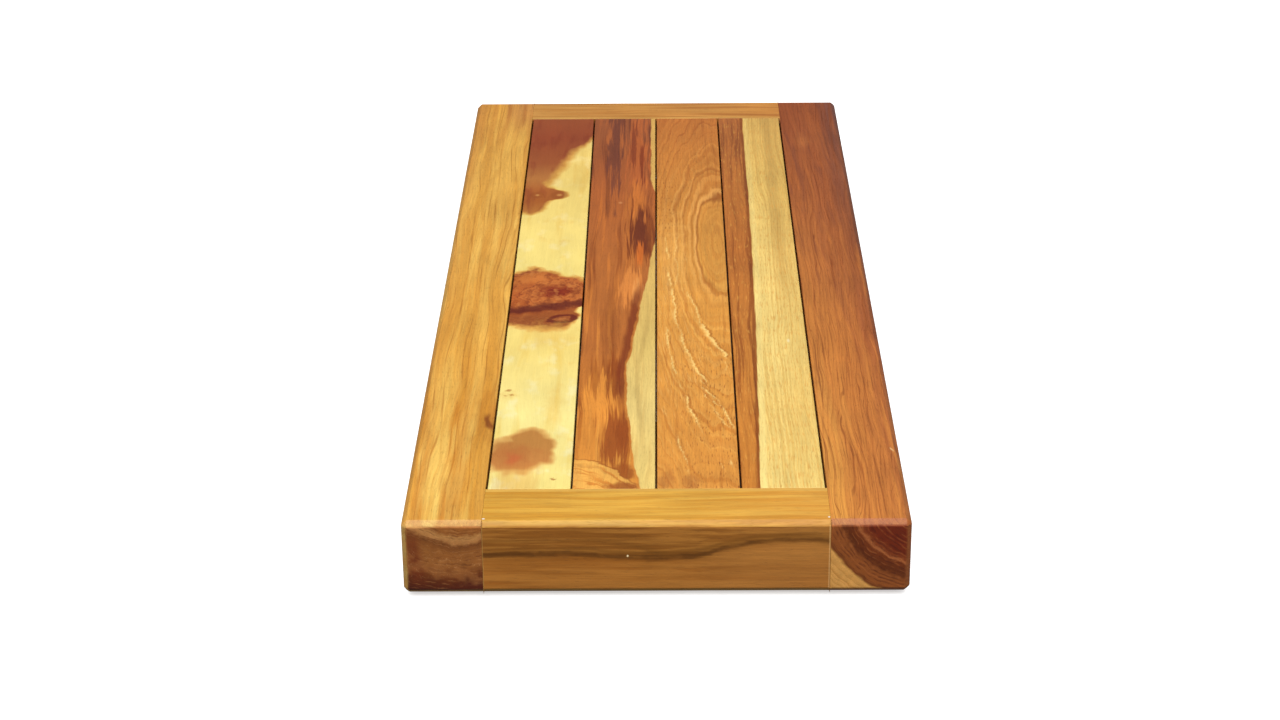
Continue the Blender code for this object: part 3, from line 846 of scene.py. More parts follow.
def slat_2_wood():
    """Dark heartwood that turns orange towards the front, with sapwood along its right edge."""
    board = Board("slat_2")
    across, along = board.across, board.along
    colour = slat_2_heart(board)
    shore = across.curve((0, 677), (15, 683), (27, 696), (34, 707), (50.4, 722))
    past = along - shore + board.soft(8, 8, 3.0, 2.0) * 6
    ripple = board.noise(past / 3.4, across / 34, board.seed, 2.0, 0.6)
    gold = board.mix(ripple.step(-0.1, 0.34), tone(250, 188, 94, 700), tone(220, 142, 64, 700))
    creases = past.band(0.3, 0.3, 1.6) + past.band(9.5, 0.3, 1.8) * 0.5
    seam = board.bent.band(13, 0.4, 2.0) * along.band(228, 30, 24)
    dot = board.oval((23.5, 1.0), (238, 1.4))
    colour = colour.coats(
        (board.cloud((31, 9), (697, 10), 0.5, 0.6) * 0.8, 164, 86, 42, 700),
        (past.step(-1.0, 3.0) * 0.8, gold),
        (creases * 0.45, 146, 74, 36, 700),
        (board.cloud((31, 10), (716, 6), 0.5, 0.6) * 0.85, 164, 88, 44, 715),
        (seam * 0.6, 112, 62, 44, 220),
        (dot.fall(0.8, 2.2) * 0.6, 216, 146, 94, 238))

    edge = board.line((38, 47.0), (190, 47.6), (235, 52), (300, 52), (330, 49), (390, 44.8),
                      (425, 41), (475, 37.5), (525, 33.5), (550, 31.5), (600, 32.5), (630, 34.5),
                      (665, 36), (700, 39.5), (719, 41.5))
    past = across - edge + board.soft(5, 18, 12.0, 3.0) * 1.8
    sap = board.tones((38, 214, 168, 92), (300, 224, 180, 100), (430, 224, 188, 108),
                      (510, 224, 192, 112), (610, 240, 210, 130), (719, 244, 212, 126))
    grey = board.streak(3, 80, 13.0, 3.0).step(0.02, 0.38) * 0.45
    stripe = past.band(7.0, 0.4, 2.4) * along.band(560, 80, 60)
    sap = sap.coats(
        (grey, 218, 178, 102, 500),
        (stripe * 0.35, 184, 148, 84, 560))
    dark = past.band(-3.2, 1.2, 4.4) * along.band(500, 74, 44)
    rim = past.band(-0.8, 0.4, 1.2) * along.step(380, 480)
    colour = colour.coats(
        (dark * 0.85, 128, 60, 34, 500),
        (rim * 0.5, 222, 144, 66, 560),
        (past.step(-0.7, 0.5), sap))
    return board.finish(colour, fibre=0.8)


def slat_3_wood():
    """Even orange-brown with an arched figure, and pale torn grain where the rings run out; the torn
    edges carry a painted highlight, with painted shadow beside them.
    """
    board = Board("slat_3")
    across, along = board.across, board.along
    colour = board.tones((38, 190, 116, 60), (210, 206, 136, 66), (360, 222, 154, 72),
                         (510, 228, 158, 74), (719, 228, 155, 73))
    deep = board.tones((38, 160, 90, 50), (210, 176, 106, 52), (360, 194, 122, 56),
                       (510, 198, 124, 56), (719, 196, 120, 54))
    pale = board.tones((38, 212, 138, 72), (210, 230, 162, 82), (360, 244, 184, 92),
                       (510, 247, 186, 98), (719, 246, 180, 90))
    arch = board.oval((45, 1.0), (320, 6.1)) + board.soft(16, 70, 2.0, 3.0) * 5
    streaks = board.streak(3.0, 110, 5.0, 3.0).step(0.05, 0.4)
    heart = arch.fall(10, 16)
    colour = colour.coats(
        (board.rings(arch, 4.4) * 0.8, deep),
        (board.rings(arch + 2.2, 3.0, 3.0) * 0.6, pale),
        (streaks * 0.5, deep),
        (heart * 0.5, 202, 142, 70, 300))
    for radius, clearness in ((16, 0.50), (20, 0.28), (25, 0.26), (31, 0.22), (38, 0.18)):
        zone = along.band(300, 60, 100) * clearness
        colour = colour.coats(
            (arch.band(radius, 0.3, 1.5) * zone, 152, 90, 46, 260),
            (arch.band(radius + 1.8, 0.3, 1.4) * zone, 244, 182, 104, 260))
    swirl = board.flame((46, 5), (228, 14))
    bright = board.cloud((13, 8), (350, 75), 0.7, 0.5)
    slant = across - along * 0.12
    combed = board.noise(slant / 0.9, along / 26, 5.0, 2.0, 0.6)
    fallen = board.cloud((15, 15), (500, 150), 0.6, 0.5)
    specks = board.streak(0.9, 8, 6.0, 1.0).step(0.22, 0.42)
    rear_specks = across.fall(8, 22) * along.band(240, 40, 40)
    front_specks = across.step(8, 24) * along.step(430, 560)
    # The torn attribute: above zero, pale torn fibres with a painted highlight; below zero, a
    # painted shadow beside each raised edge
    grain = board.attribute("torn")
    torn = grain.step(0.1, 0.85)
    painted_tear_shadow = (-grain).step(0.1, 0.9)
    dusky = board.cloud((6, 4), (706, 12), 0.7, 0.8) + board.cloud((21, 4), (712, 10), 0.7, 0.8)
    colour = colour.coats(
        (swirl * 0.5, 152, 88, 46, 225),
        (bright * 0.35, 248, 188, 102, 350),
        (combed.step(0.1, 0.42) * fallen * 0.5, 250, 196, 116, 500),
        ((-combed).step(0.16, 0.42) * fallen * 0.35, 184, 112, 56, 500),
        (specks * (rear_specks * 0.8 + front_specks * 0.65), 136, 74, 42, 400),
        # Painted shadow beside the torn edges, then pale torn fibres with a painted highlight
        (painted_tear_shadow * 0.45, 150, 88, 44, 480),
        (torn, 255, 210, 126, 480),
        (dusky * 0.4, 158, 88, 52, 706))
    return board.finish(colour, sheen=0.48, lifted=torn * 0.2)


def slat_4_wood():
    """A strip of red-brown heartwood beside pale, finely striped sapwood."""
    board = Board("slat_4")
    across = board.across
    heart = board.tones((38, 180, 110, 62), (210, 190, 118, 60), (360, 190, 116, 58),
                        (510, 210, 136, 64), (719, 214, 138, 62))
    deep = board.tones((38, 142, 82, 52), (360, 148, 84, 46), (719, 172, 98, 46))
    bent_rings = board.bent + board.soft(9, 120, 7.0) * 8
    gilt = board.streak(0.8, 14, 19.0, 1.0).step(0.2, 0.4)
    heart = heart.coats(
        (board.streak(2.6, 150, detail=3.0).step(-0.05, 0.28) * 0.8, deep),
        (board.rings(bent_rings, 4.0) * 0.45, deep),
        (gilt * 0.45, 232, 168, 84, 360))
    sap = board.tones((38, 222, 180, 100), (210, 232, 194, 110), (360, 242, 208, 124),
                      (510, 248, 218, 134), (610, 247, 212, 126), (719, 250, 220, 134))
    tan = board.tones((38, 192, 150, 84), (210, 204, 162, 86), (360, 218, 172, 92),
                      (510, 224, 182, 98), (719, 232, 186, 98))
    stripes = board.streak(1.6, 420, 5.0, 3.0).step(-0.04, 0.26)
    side = (across + board.streak(3, 200, 6.0) * 6).step(27, 41)
    side = side * board.line((38, 0.85), (340, 0.75), (560, 0.6), (719, 0.3))
    olive = (across + board.streak(3, 200, 8.0) * 3).band(39, 1.5, 5.0)
    flecks = board.streak(0.7, 12, 9.0, 1.0).step(0.1, 0.34)
    edge = board.line((38, 20), (300, 19), (425, 17.5), (550, 15), (650, 13), (719, 11.5))
    past = across - edge + board.streak(2.5, 60, 12.0, 2.0) * 1.3
    near = past.band(2.2, 0.8, 2.4) * board.line((38, 0.2), (300, 0.4), (719, 0.6))
    sap = sap.coats(
        (stripes * 0.55 + side * 0.55, tan),
        (olive * board.line((38, 0.5), (300, 0.4), (480, 0.0), (719, 0.0)), 190, 150, 84, 200),
        (flecks * 0.6, 220, 160, 80, 420),
        (near, 252, 228, 146, 500))
    heart = heart.coat(past.band(-1.2, 0.5, 1.6) * 0.65, 128, 68, 40)
    colour = board.mix(past.step(-0.5, 0.4), heart, sap)
    fleck = board.oval((38, 1.0), (500, 3.0))
    colour = colour.coat(fleck.fall(0.4, 1.4) * 0.6, 250, 236, 190, 500)
    return board.finish(colour, fibre=0.9)


# ================================================================ finishes out of sight

def batten_wood(row):
    """Plain light brown timber that shows its rings."""
    board = Board(f"{row}_batten", runs_across=True)
    streaks = board.streak(5, 120, detail=3.0).step(-0.25, 0.3)
    colour = board.mix(streaks, tone(172, 108, 56), tone(214, 154, 84))
    lines = board.rings(board.from_pith(60, 70, 6.0), 3.2)
    colour = colour.coat(lines * 0.5, 150, 90, 46)
    return board.finish(colour, board.shade(colour, 0.55), 0.5)


def peg_wood():
    """Pale wood for the dowels, with its grain upright."""
    graph = Graph("peg_wood")
    x, y, z = graph.place()
    face_up = graph.facing()[2]
    grain = graph.noise(x / 0.8, y / 0.8, z / 14, 3.0, 0.6)
    rings = graph.noise(x / 1.6 + y / 5.0, 0.0, 0.0, 2.0)
    colour = graph.mix(rings.step(-0.2, 0.25), tone(170, 120, 70), tone(206, 160, 100))
    colour = graph.shade(colour, 1.0 + grain * 0.4 - face_up * 0.2)
    graph.set("Base Color", colour)
    graph.set("Roughness", 0.55 + grain * 0.2)
    graph.bump(grain * 0.06)
    return graph.material


def foot_rubber():
    """Dull black rubber with a little dust on it."""
    graph = Graph("foot_rubber")
    x, y, z = graph.place()
    mottle = graph.noise(x / 6, y / 6, z / 6, 3.0)
    fine = graph.noise(x / 0.35, y / 0.35, z / 0.35, 2.0)
    dust = (mottle + fine * 0.5).step(0.05, 0.5)
    graph.set("Base Color", graph.mix(dust, (0.018, 0.018, 0.019, 1), (0.05, 0.048, 0.045, 1)))
    graph.set("Roughness", 0.72 + mottle * 0.2)
    graph.set("Specular IOR Level", 0.35)
    graph.bump(fine * 0.05 + mottle * 0.04)
    return graph.material


def screw_steel():
    """Grey stainless steel with fine scratches."""
    graph = Graph("screw_steel")
    x, y, z = graph.place()
    scratch = graph.noise(x / 0.12, y / 2.5, z / 0.12, 2.0)
    stain = graph.noise(x / 3, y / 3, z / 3, 2.0)
    colour = graph.mix(stain.step(0.0, 0.5), (0.62, 0.61, 0.59, 1), (0.5, 0.48, 0.45, 1))
    graph.set("Base Color", colour)
    graph.set("Metallic", 1.0)
    graph.set("Roughness", 0.3 + scratch * 0.16 + stain * 0.1)
    graph.bump(scratch * 0.008)
    return graph.material


# ================================================================ meshes

def box_between(low, high):
    """A box from its two opposite corners."""
    bm = bmesh.new()
    low, high = Vector(low), Vector(high)
    stretch = Matrix.Diagonal((*(high - low), 1.0))
    bmesh.ops.create_cube(bm, size=1.0, matrix=Matrix.Translation((low + high) / 2) @ stretch)
    return bm


def grown(low, high, amount):
    """A box's corners moved out by this much on every side."""
    margin = Vector((amount, amount, amount))
    return low - margin, high + margin


def drill(place, low, high, radius, steps=48, low_radius=None):
    """A round cutter between two heights, which may have another radius at its low end."""
    bm = bmesh.new()
    centre = Matrix.Translation((place.x, place.y, (low + high) / 2))
    bmesh.ops.create_cone(bm, cap_ends=True, segments=steps, radius1=low_radius or radius,
                          radius2=radius, depth=high - low, matrix=centre)
    return bm


def as_object(name, bm):
    """Turn a shape being built into an object of the scene."""
    mesh = bpy.data.meshes.new(name)
    bm.to_mesh(mesh)
    bm.free()
    made = bpy.data.objects.new(name, mesh)
    bpy.context.scene.collection.objects.link(made)
    return made


def apply_modifiers(piece):
    """Make what the modifiers do a part of the mesh."""
    bpy.context.view_layer.update()
    evaluated = piece.evaluated_get(bpy.context.evaluated_depsgraph_get())
    mesh = bpy.data.meshes.new_from_object(evaluated)
    piece.modifiers.clear()
    piece.data = mesh


def cut(piece, tools, operation="DIFFERENCE"):
    """Cut solids that don't touch each other out of a piece, or with UNION join them to it."""
    merged = bmesh.new()
    for bm in tools:
        part = bpy.data.meshes.new("tool")
        bm.to_mesh(part)
        bm.free()
        merged.from_mesh(part)
        bpy.data.meshes.remove(part)
    tool = as_object("tool", merged)
    boolean = piece.modifiers.new("shape", "BOOLEAN")
    boolean.operation = operation
    boolean.solver = "EXACT"
    boolean.object = tool
    apply_modifiers(piece)
    bpy.data.objects.remove(tool, do_unlink=True)


def divide(bm, axis, step):
    """Slice a box along one axis, into lengths of about this step."""
    runs = [edge for edge in bm.edges
            if abs((edge.verts[1].co - edge.verts[0].co).normalized()[axis]) > 0.99]
    cuts = round(runs[0].calc_length() / step) - 1
    bmesh.ops.subdivide_edges(bm, edges=runs, cuts=cuts)


def side_of(face):
    """The side of a box that a face lies on, such as (0, 0, 1) for its top."""
    return tuple(round(part) for part in face.normal)


def timber(name, low, high, wide_sides, wide, narrow, slices):
    """A board with wide chamfers where two of the given sides meet and narrow ones elsewhere."""
    bm = box_between(low, high)
    for axis, step in slices.items():
        divide(bm, axis, step)
    bm.normal_update()
    weight = bm.edges.layers.float.new("bevel_weight_edge")
    for edge in bm.edges:
        sides = {side_of(face) for face in edge.link_faces}
        if len(sides) == 2:
            edge[weight] = 1.0 if sides <= wide_sides else narrow / wide
    board = as_object(name, bm)
    chamfer = board.modifiers.new("chamfer", "BEVEL")
    chamfer.limit_method = "WEIGHT"
    chamfer.width = wide
    chamfer.segments = EDGE_STEPS
    chamfer.profile = EDGE_ROUNDNESS
    apply_modifiers(board)
    return board


def wear(board, low, high):
    """Rub the chamfered edges unevenly, as sanding by hand and use do."""
    mesh = board.data
    normals = [vertex.normal.copy() for vertex in mesh.vertices]
    for vertex, normal in zip(mesh.vertices, normals):
        # 0 on a flat face and 1 on a chamfer; the rubbing varies over about 26 and 7 mm
        slope = min(1.0, (1.0 - max(abs(part) for part in normal)) / 0.25)
        place = vertex.co / MM
        rub = 0.5 + noise.noise(place / 26) * 0.7 + noise.noise(place / 7) * 0.35
        insets = sorted(min(vertex.co[axis] - low[axis], high[axis] - vertex.co[axis])
                        for axis in range(3))
        chamfer_width = insets[0] + insets[1]
        vertex.co -= normal * slope * min(WEAR_DEPTH * max(rub, 0.0), WEAR_LIMIT * chamfer_width)


def smooth(piece, degrees):
    """Smooth shading, but sharp where faces meet at more than this angle."""
    piece.data.shade_smooth()
    piece.data.set_sharp_from_angle(angle=math.radians(degrees))


def polish(piece):
    """Smooth shading on the rounded edges, flat faces kept flat."""
    smooth(piece, 50)
    even = piece.modifiers.new("even", "WEIGHTED_NORMAL")
    even.keep_sharp = True
    apply_modifiers(piece)


def settle(piece, node, material):
    """Give a piece its one material, hang it under the root, and hide the CAD node it stands in for.
    """
    piece.data.materials.clear()
    piece.data.materials.append(material)
    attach(piece, "root")
    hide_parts(node)


def middle_of(node):
    """The middle of a CAD node's box."""
    low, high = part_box(node)
    return (low + high) / 2


def radius_of(node):
    """The radius of a round upright CAD node."""
    low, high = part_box(node)
    return (high.x - low.x) / 2


def lathe(name, profile, steps):
    """Turn (radius, height) points about the vertical through the origin."""
    bm = bmesh.new()
    points = [bm.verts.new((radius, 0.0, height)) for radius, height in profile]
    edges = [bm.edges.new(pair) for pair in zip(points, points[1:])]
    bmesh.ops.spin(bm, geom=points + edges, cent=(0, 0, 0), axis=(0, 0, 1), steps=steps,
                   angle=math.tau, use_merge=True)
    bmesh.ops.remove_doubles(bm, verts=bm.verts, dist=0.001 * MM)
    bmesh.ops.recalc_face_normals(bm, faces=bm.faces)
    return as_object(name, bm)


def place_lathed(piece, middle):
    """Move a turned piece's mesh to its place in the row frame."""
    piece.data.transform(Matrix.Translation((middle.x, middle.y, 0.0)))


# ================================================================ frame timbers

def tenon_box(end, side, gap):
    """The tenon at one end of a rail, grown by a gap, and running on a little into the rail."""
    low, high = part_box(f"{end}_rail")
    middle = (low + high) / 2
    half = Vector((0.0, TENON_WIDTH / 2, TENON_HEIGHT / 2))
    if side == "left":
        near, far = low.x, OPENING_LEFT + MM
    else:
        near, far = OPENING_RIGHT - MM, high.x
    low_end = Vector((near, middle.y, middle.z))
    high_end = Vector((far, middle.y, middle.z))
    return grown(low_end - half, high_end + half, gap)


def peg_bores(ends, sides):
    """Cutters for the dowels' holes at these corners."""
    bores = []
    for node in (f"tenon_peg_{end}_{side}" for end in ends for side in sides):
        low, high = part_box(node)
        bores.append(drill(middle_of(node), low.z - MM, high.z + TIGHT, radius_of(node) + TIGHT))
    return bores


def make_stile(side, material):
    """A stile with mortises, housings for the battens, and pockets and holes from below."""
    low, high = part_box(f"{side}_stile")
    inner = (1, 0, 0) if side == "left" else (-1, 0, 0)
    stile = timber(f"{side}_stile_board", low, high, ALL_SIDES - {inner}, CHAMFER, FRAME_EASING,
                   {1: SLICE, 2: SLICE})
    wear(stile, low, high)
    mortises = [box_between(*tenon_box(end, side, TIGHT)) for end in ENDS]
    mortises += [box_between(*grown(*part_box(f"{row}_batten"), TIGHT)) for row in ROWS]
    cut(stile, mortises)
    pockets, pilots = [], []
    for row in ROWS:
        foot, screw = f"foot_{row}_{side}", f"foot_screw_{row}_{side}"
        middle = middle_of(foot)
        pockets.append(drill(middle, low.z - MM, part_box(foot)[1].z + TIGHT,
                             radius_of(foot) + 2 * TIGHT, 96))
        pilots.append(drill(middle, low.z - MM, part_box(screw)[1].z + MM, HOLE_RADIUS))
    cut(stile, pockets)
    cut(stile, pilots + peg_bores(ENDS, [side]))
    polish(stile)
    settle(stile, f"{side}_stile", material)


def make_rail(end, material):
    """A rail with a tenon at each end and a groove for the slats' tongues."""
    low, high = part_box(f"{end}_rail")
    low.x, high.x = OPENING_LEFT + TIGHT, OPENING_RIGHT - TIGHT
    outward = -1 if end == "front" else 1
    outer = {(0, outward, 0), (0, 0, 1), (0, 0, -1)}
    rail = timber(f"{end}_rail_board", low, high, outer, CHAMFER, FRAME_EASING,
                  {0: SLICE, 2: SLICE})
    wear(rail, low, high)
    cut(rail, [box_between(*tenon_box(end, side, 0.0)) for side in SIDES], "UNION")
    slat_low, slat_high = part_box("slat_1")
    inner_face = low.y if outward > 0 else high.y
    tip = slat_high.y if outward > 0 else slat_low.y
    middle = middle_of("slat_1").z
    half = TONGUE_THICKNESS / 2 + TIGHT
    near, far = sorted((inner_face - outward * MM, tip + outward * TIGHT))
    groove = box_between((low.x - MM, near, middle - half), (high.x + MM, far, middle + half))
    cut(rail, [groove])
    cut(rail, peg_bores([end], SIDES))
    polish(rail)
    settle(rail, f"{end}_rail", material)


def make_peg(node, material):
    """A fluted dowel, whose lower end shows on the underside."""
    low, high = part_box(node)
    radius = radius_of(node)
    profile = [(0.0, high.z), (radius - PEG_RIM, high.z), (radius, high.z - PEG_RIM)]
    for step in range(1, PEG_ROWS):
        profile.append((radius, high.z - step * (high.z - low.z) / PEG_ROWS))
    profile += [(radius, low.z + PEG_FOOT_RIM), (radius - PEG_FOOT_RIM, low.z), (0.0, low.z)]
    peg = lathe(f"{node}_dowel", profile, 96)
    for vertex in peg.data.vertices:
        turn = math.atan2(vertex.co.y, vertex.co.x)
        out = Vector((vertex.co.x, vertex.co.y, 0.0))
        flute = max(0.0, math.cos(PEG_FLUTES * turn)) * FLUTE_DEPTH
        if out.length > radius / 2:
            vertex.co -= out.normalized() * flute
    place_lathed(peg, middle_of(node))
    smooth(peg, 40)
    settle(peg, node, material)


# ================================================================ slats and battens

def torn_lines():
    """The torn edges and the splinters between them, as (strength, line)."""
    lines = list(TORN_EDGES)
    (along, across), count, (down_step, side_step) = SPLINTERS
    for index in range(count):
        top = along + index * down_step
        left = across + index * side_step + 5 * noise.noise(Vector((index * 1.7, 0.3, 0.9)))
        lines.append((1.0, ((top, left), (top + 11, left + 4), (top + 22, left + 9))))
    return lines


def across_at(line, along):
    """How far across the slat a torn edge is, or None before its start or after its end."""
    for (start, left), (stop, right) in zip(line, line[1:]):
        if start <= along <= stop:
            return left + (right - left) * (along - start) / (stop - start)
    return None


def tear(line, strength, along, across):
    """Lift and paleness that one torn edge gives at a point; the paleness is partly a painted
    highlight, and the dip beside it is darker, a painted shadow given as negative paleness.
    """
    edge = across_at(line, along)
    if edge is None or abs(across - edge) > TEAR_REACH:
        return 0.0, 0.0
    start, stop = line[0][0], line[-1][0]
    # The edge has fine teeth, wanders a little, and breaks up and fades out on its way
    jag = noise.noise(Vector((along / 3.2, start, 0.5))) * 0.9 * strength
    jag += noise.noise(Vector((along / 14, start, 2.5))) * 1.6
    beside = across - edge - jag
    fade = min(1.0, (along - start) / TEAR_REACH, (stop - along) / TEAR_REACH)
    broken = 0.9 + 0.9 * noise.noise(Vector((along / 15, line[0][1], 7.5)))
    amount = strength * max(0.0, fade) * min(1.0, max(0.0, broken))
    if beside < 0:
        lift = math.exp(beside / 4.0)
    else:
        lift = -0.6 * math.exp(-beside / 2.0)
    # Past the edge the paleness turns negative, a painted shadow; on and before it, pale fibres
    # partly painted highlight
    if beside > 1.0:
        pale = -max(0.0, 1.0 - abs(beside - 1.9) / 0.9)
    else:
        pale = max(0.0, 1.0 - abs(beside - 0.1) / 0.9, 0.40 * (1.0 + beside / 4.5))
    return lift * amount * TEAR_HEIGHT, pale * amount


def tear_grain(slat, left):
    """Raise the torn edges on the slat's top, and mark how pale they are: pale fibres with a painted
    highlight, and painted shadow beside them as negative values.
    """
    lines = torn_lines()
    mesh = slat.data
    torn = mesh.attributes.new("torn", "FLOAT", "POINT")
    on_top = [vertex for vertex in mesh.vertices
              if vertex.normal.z > 0.5 and vertex.co.z > TOP - 0.3 * MM]
    for vertex in on_top:
        across = (vertex.co.x - left) / MM
        along = MAT_REAR - vertex.co.y / MM
        lift, pale = 0.0, 0.0
        for strength, line in lines:
            more_lift, more_pale_and_shadow = tear(line, strength, along, across)
            lift += more_lift
            pale = max(pale, more_pale_and_shadow, key=abs)
        vertex.co.z += lift * MM
        torn.data[vertex.index].value = pale


def make_slat(node, material):
    """A slat with a tongue at each end and pilot holes for its screws."""
    low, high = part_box(node)
    tips = (low.y, high.y)
    low.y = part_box("front_rail")[1].y + TIGHT
    high.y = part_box("rear_rail")[0].y - TIGHT
    low.x -= SLAT_SPREAD
    high.x += SLAT_SPREAD
    is_torn = node == "slat_3"
    slices = {1: FINE_SLICE_ALONG, 0: FINE_SLICE_ACROSS} if is_torn else {1: SLICE, 0: SLICE}
    long_top = {(0, 0, 1), (1, 0, 0), (-1, 0, 0)}
    slat = timber(f"{node}_board", low, high, long_top, SLAT_EASING, UNDER_EASING, slices)
    if is_torn:
        tear_grain(slat, low.x)
    middle = (low + high) / 2
    inset = Vector((TONGUE_INSET, 0.0, 0.0))
    half = Vector((0.0, 0.0, TONGUE_THICKNESS / 2))
    tongues = []
    for near, far in ((tips[0], low.y + MM), (high.y - MM, tips[1])):
        corner = Vector((low.x, near, middle.z)) + inset - half
        opposite = Vector((high.x, far, middle.z)) - inset + half
        tongues.append(box_between(corner, opposite))
    cut(slat, tongues, "UNION")
    pilots = []
    for row in ROWS:
        place = Vector((middle_of(node).x, middle_of(f"{row}_batten").y))
        pilots.append(drill(place, low.z - MM, low.z + SLAT_PILOT_DEPTH, HOLE_RADIUS, 32))
    cut(slat, pilots)
    polish(slat)
    settle(slat, node, material)


def make_batten(row, material):
    """A batten with a countersunk hole for each slat's screw."""
    node = f"{row}_batten"
    low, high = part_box(node)
    sides_below = {(0, 0, -1), (0, 1, 0), (0, -1, 0)}
    batten = timber(f"{node}_board", low, high, sides_below, BATTEN_CHAMFER, UNDER_EASING,
                    {0: SLICE})
    wear(batten, low, high)
    holes, sinks = [], []
    for number in SLAT_NUMBERS:
        screw = f"batten_screw_{row}_{number}"
        middle = middle_of(screw)
        mouth = radius_of(screw) + HEAD_ROOM
        holes.append(drill(middle, low.z - MM, high.z + MM, HOLE_RADIUS))
        # A cone at 45 degrees that starts below the batten, so its mouth is cut cleanly
        sinks.append(drill(middle, low.z - MM, low.z + mouth - SCREW_CORE, SCREW_CORE,
                           low_radius=mouth + MM))
    cut(batten, holes)
    cut(batten, sinks)
    polish(batten)
    settle(batten, node, material)


# ================================================================ screws and feet

def cut_recess(screw, floor):
    """The tapered cross recess in a screw's head."""
    for quarter in range(2):
        bar = box_between((-RECESS_SPAN / 2, -RECESS_WIDTH / 2, floor - MM),
                          (RECESS_SPAN / 2, RECESS_WIDTH / 2, floor + RECESS_DEPTH))
        for vertex in bar.verts:
            if vertex.co.z > floor:
                vertex.co.x *= 0.45
                vertex.co.y *= 0.7
        bar.transform(Matrix.Rotation(quarter * math.pi / 2 + RECESS_TURN, 4, "Z"))
        cut(screw, [bar])


def screw_shape(name, node):
    """A countersunk wood screw, head down, with a helical thread and a cross recess."""
    low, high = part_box(node)
    radius = radius_of(node)
    head_top = low.z + SCREW_RIM + radius - SCREW_CREST
    thread_top = high.z - 0.2 * MM
    profile = [(0.0, low.z + 0.02 * MM), (radius - 0.35 * MM, low.z),
               (radius, low.z + SCREW_RIM * 0.7), (radius, low.z + SCREW_RIM),
               (SCREW_CREST, head_top), (SCREW_CREST, head_top + 2 * MM)]
    start = head_top + SCREW_SHANK
    for step in range(THREAD_ROWS + 1):
        profile.append((SCREW_CORE, start + (thread_top - start) * step / THREAD_ROWS))
    profile.append((0.0, high.z))
    screw = lathe(name, profile, 20)
    for vertex in screw.data.vertices:
        x, y, z = vertex.co
        if z < start - 0.1 * MM or z > thread_top + 0.1 * MM:
            continue
        taper = min(1.0, (high.z - z) / SCREW_POINT)
        turn = (math.atan2(y, x) / math.tau + z / THREAD_PITCH) % 1.0
        ridge = max(0.0, 1.0 - abs(turn - 0.5) * 5.0)
        reach = (SCREW_CORE + (SCREW_CREST - SCREW_CORE) * ridge) * max(taper, 0.08)
        size = math.hypot(x, y)
        vertex.co = (x / size * reach, y / size * reach, z)
    cut_recess(screw, low.z)
    smooth(screw, 38)
    return screw


def foot_shape(node):
    """A turned rubber foot with a rounded rim, a groove round its sole and a sunken screw."""
    low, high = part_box(node)
    radius = radius_of(node)
    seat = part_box("foot_screw_front_left")[0].z + SEAT_RISE
    recess = radius_of("foot_screw_front_left") + HEAD_CLEARANCE
    profile = [(HOLE_RADIUS, high.z), (radius - FOOT_EASING, high.z),
               (radius, high.z - FOOT_EASING)]
    for step in range(7):
        angle = step / 6 * math.pi / 2
        profile.append((radius - FOOT_RIM * (1 - math.cos(angle)),
                        low.z + FOOT_RIM * (1 - math.sin(angle))))
    for inset, depth in zip(GROOVE_INSETS, (0.0, GROOVE_DEPTH, GROOVE_DEPTH, 0.0)):
        profile.append((radius - inset * MM, low.z + depth))
    profile += [(recess + 0.4 * MM, low.z), (recess, low.z + FOOT_EASING), (recess, seat),
                (HOLE_RADIUS, seat + recess - HOLE_RADIUS), (HOLE_RADIUS, high.z)]
    foot = lathe("foot_shape", profile, 72)
    smooth(foot, 40)
    return foot


def place_copies(shape, nodes, material):
    """Put a copy of a shape made at the origin at each node's place, each turned further."""
    for number, node in enumerate(nodes):
        mesh = shape.data.copy()
        mesh.transform(Matrix.Rotation(number * TURN_BETWEEN_COPIES, 4, "Z"))
        piece = bpy.data.objects.new(f"{node}_turned", mesh)
        bpy.context.scene.collection.objects.link(piece)
        place_lathed(piece, middle_of(node))
        settle(piece, node, material)
    bpy.data.objects.remove(shape, do_unlink=True)


# ================================================================ stage

def make_floor():
    """White paper that glows outside the mat's edge, so only a faint contact shadow shows."""
    bm = bmesh.new()
    bmesh.ops.create_grid(bm, x_segments=1, y_segments=1, size=FLOOR_SIZE / 2)
    floor = as_object("floor", bm)
    graph = Graph("glowing_floor_paper")
    x, y, _ = graph.place()
    beside = graph.math("ABSOLUTE", x) - MAT_WIDTH / 2
    behind = graph.math("ABSOLUTE", y) - LENGTH / 2
    beyond = graph.math("MAXIMUM", beside, behind)
    # Painted light: the floor glows from the mat's edge outwards, and more further away, so only a
    # faint contact shadow shows and the far floor stays white
    lit = beyond.step(*SHADOW_REACH)
    graph.set("Base Color", graph.mix(lit, (0.86, 0.86, 0.86, 1.0), (0.60, 0.60, 0.60, 1.0)))
    graph.set("Emission Color", (1.0, 1.0, 1.0, 1.0))
    graph.set("Emission Strength", lit * 0.7 + beyond.step(*GLOW_REACH) * 0.3)
    graph.set("Roughness", 0.9)
    graph.set("Specular IOR Level", 0.1)
    floor.data.materials.append(graph.material)
    floor.visible_diffuse = False
    floor.visible_glossy = False


def make_world():
    """A backdrop the camera sees as white, which lights the mat only softly."""
    world = bpy.data.worlds.new("studio")
    world.use_nodes = True
    tree = world.node_tree
    background = tree.nodes["Background"]
    background.inputs["Color"].default_value = (1.0, 1.0, 1.0, 1.0)
    seen = tree.nodes.new("ShaderNodeLightPath")
    strength = tree.nodes.new("ShaderNodeMapRange")
    strength.inputs["To Min"].default_value = WORLD_LIGHT
    strength.inputs["To Max"].default_value = 1.0
    tree.links.new(seen.outputs["Is Camera Ray"], strength.inputs["Value"])
    tree.links.new(strength.outputs["Result"], background.inputs["Strength"])
    bpy.context.scene.world = world


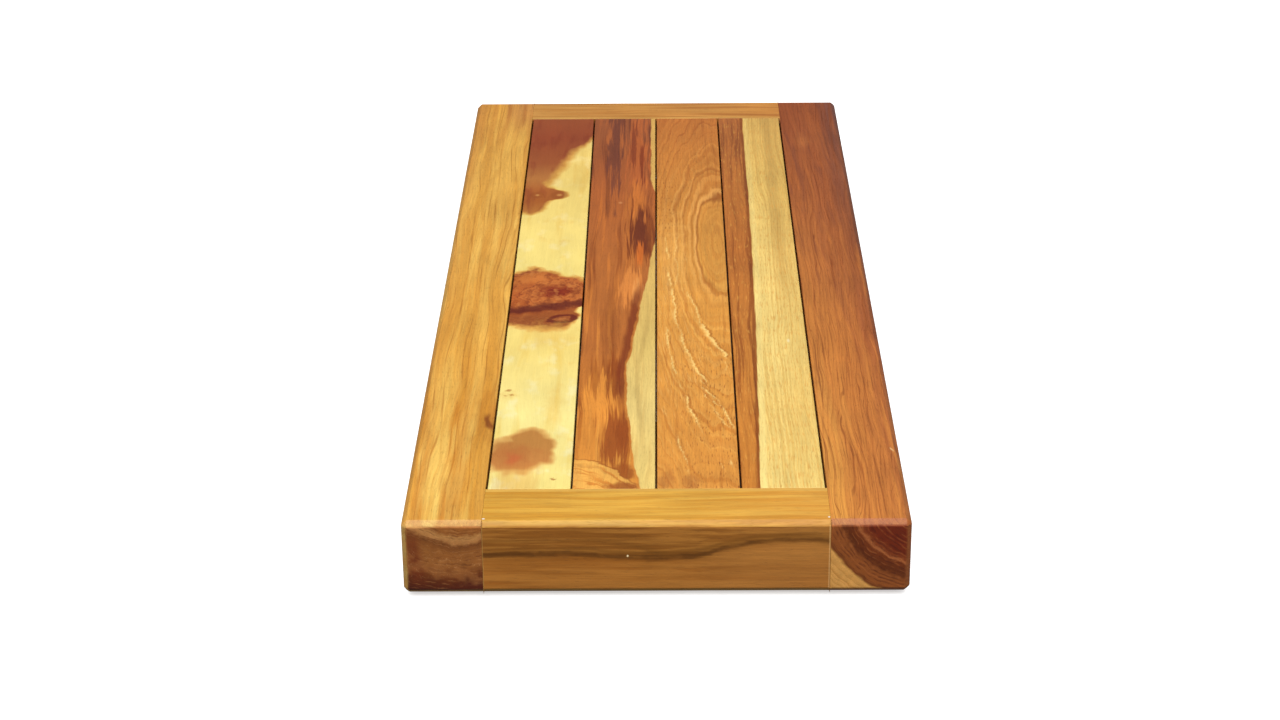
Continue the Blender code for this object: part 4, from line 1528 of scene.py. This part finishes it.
def make_softbox():
    """A large soft lamp above and in front of the mat."""
    light = bpy.data.lights.new("softbox", "AREA")
    light.shape = "RECTANGLE"
    light.size, light.size_y = SOFTBOX_SIZE
    light.energy = SOFTBOX_POWER
    lamp = bpy.data.objects.new("softbox", light)
    lamp.location = SOFTBOX_PLACE
    aim = Vector(SOFTBOX_TARGET) - lamp.location
    lamp.rotation_euler = aim.to_track_quat("-Z", "Y").to_euler()
    bpy.context.scene.collection.objects.link(lamp)


def make_camera():
    """The camera, which turns and tilts about the place where it stands."""
    data = bpy.data.cameras.new("camera")
    data.sensor_width = 36.0
    data.lens = CAMERA_LENS
    data.clip_start = 0.05
    camera = bpy.data.objects.new("camera", data)
    turn = (Matrix.Rotation(-CAMERA_YAW, 4, "Z")
            @ Matrix.Rotation(math.pi / 2 - CAMERA_PITCH, 4, "X")
            @ Matrix.Rotation(CAMERA_ROLL, 4, "Z"))
    camera.matrix_world = Matrix.Translation(CAMERA_PLACE) @ turn
    bpy.context.scene.collection.objects.link(camera)
    bpy.context.scene.camera = camera


# ================================================================ the mat

make_camera()
make_floor()
make_world()
make_softbox()
bpy.context.scene.view_settings.view_transform = "Standard"

make_stile("left", left_stile_wood())
make_stile("right", right_stile_wood())
for end_name in ENDS:
    make_rail(end_name, rail_wood(end_name))
for slat_number, slat_wood in zip(SLAT_NUMBERS, (slat_1_wood, slat_2_wood, slat_3_wood,
                                                 slat_4_wood)):
    make_slat(f"slat_{slat_number}", slat_wood())
for row_name in ROWS:
    make_batten(row_name, batten_wood(row_name))
dowel = peg_wood()
for end_name in ENDS:
    for side_name in SIDES:
        make_peg(f"tenon_peg_{end_name}_{side_name}", dowel)

steel = screw_steel()
batten_screws = [f"batten_screw_{row}_{number}" for row in ROWS for number in SLAT_NUMBERS]
foot_screws = [f"foot_screw_{row}_{side}" for row in ROWS for side in SIDES]
feet = [f"foot_{row}_{side}" for row in ROWS for side in SIDES]
for kind, screws in (("batten", batten_screws), ("foot", foot_screws)):
    place_copies(screw_shape(f"{kind}_screw_shape", screws[0]), screws, steel)
place_copies(foot_shape(feet[0]), feet, foot_rubber())
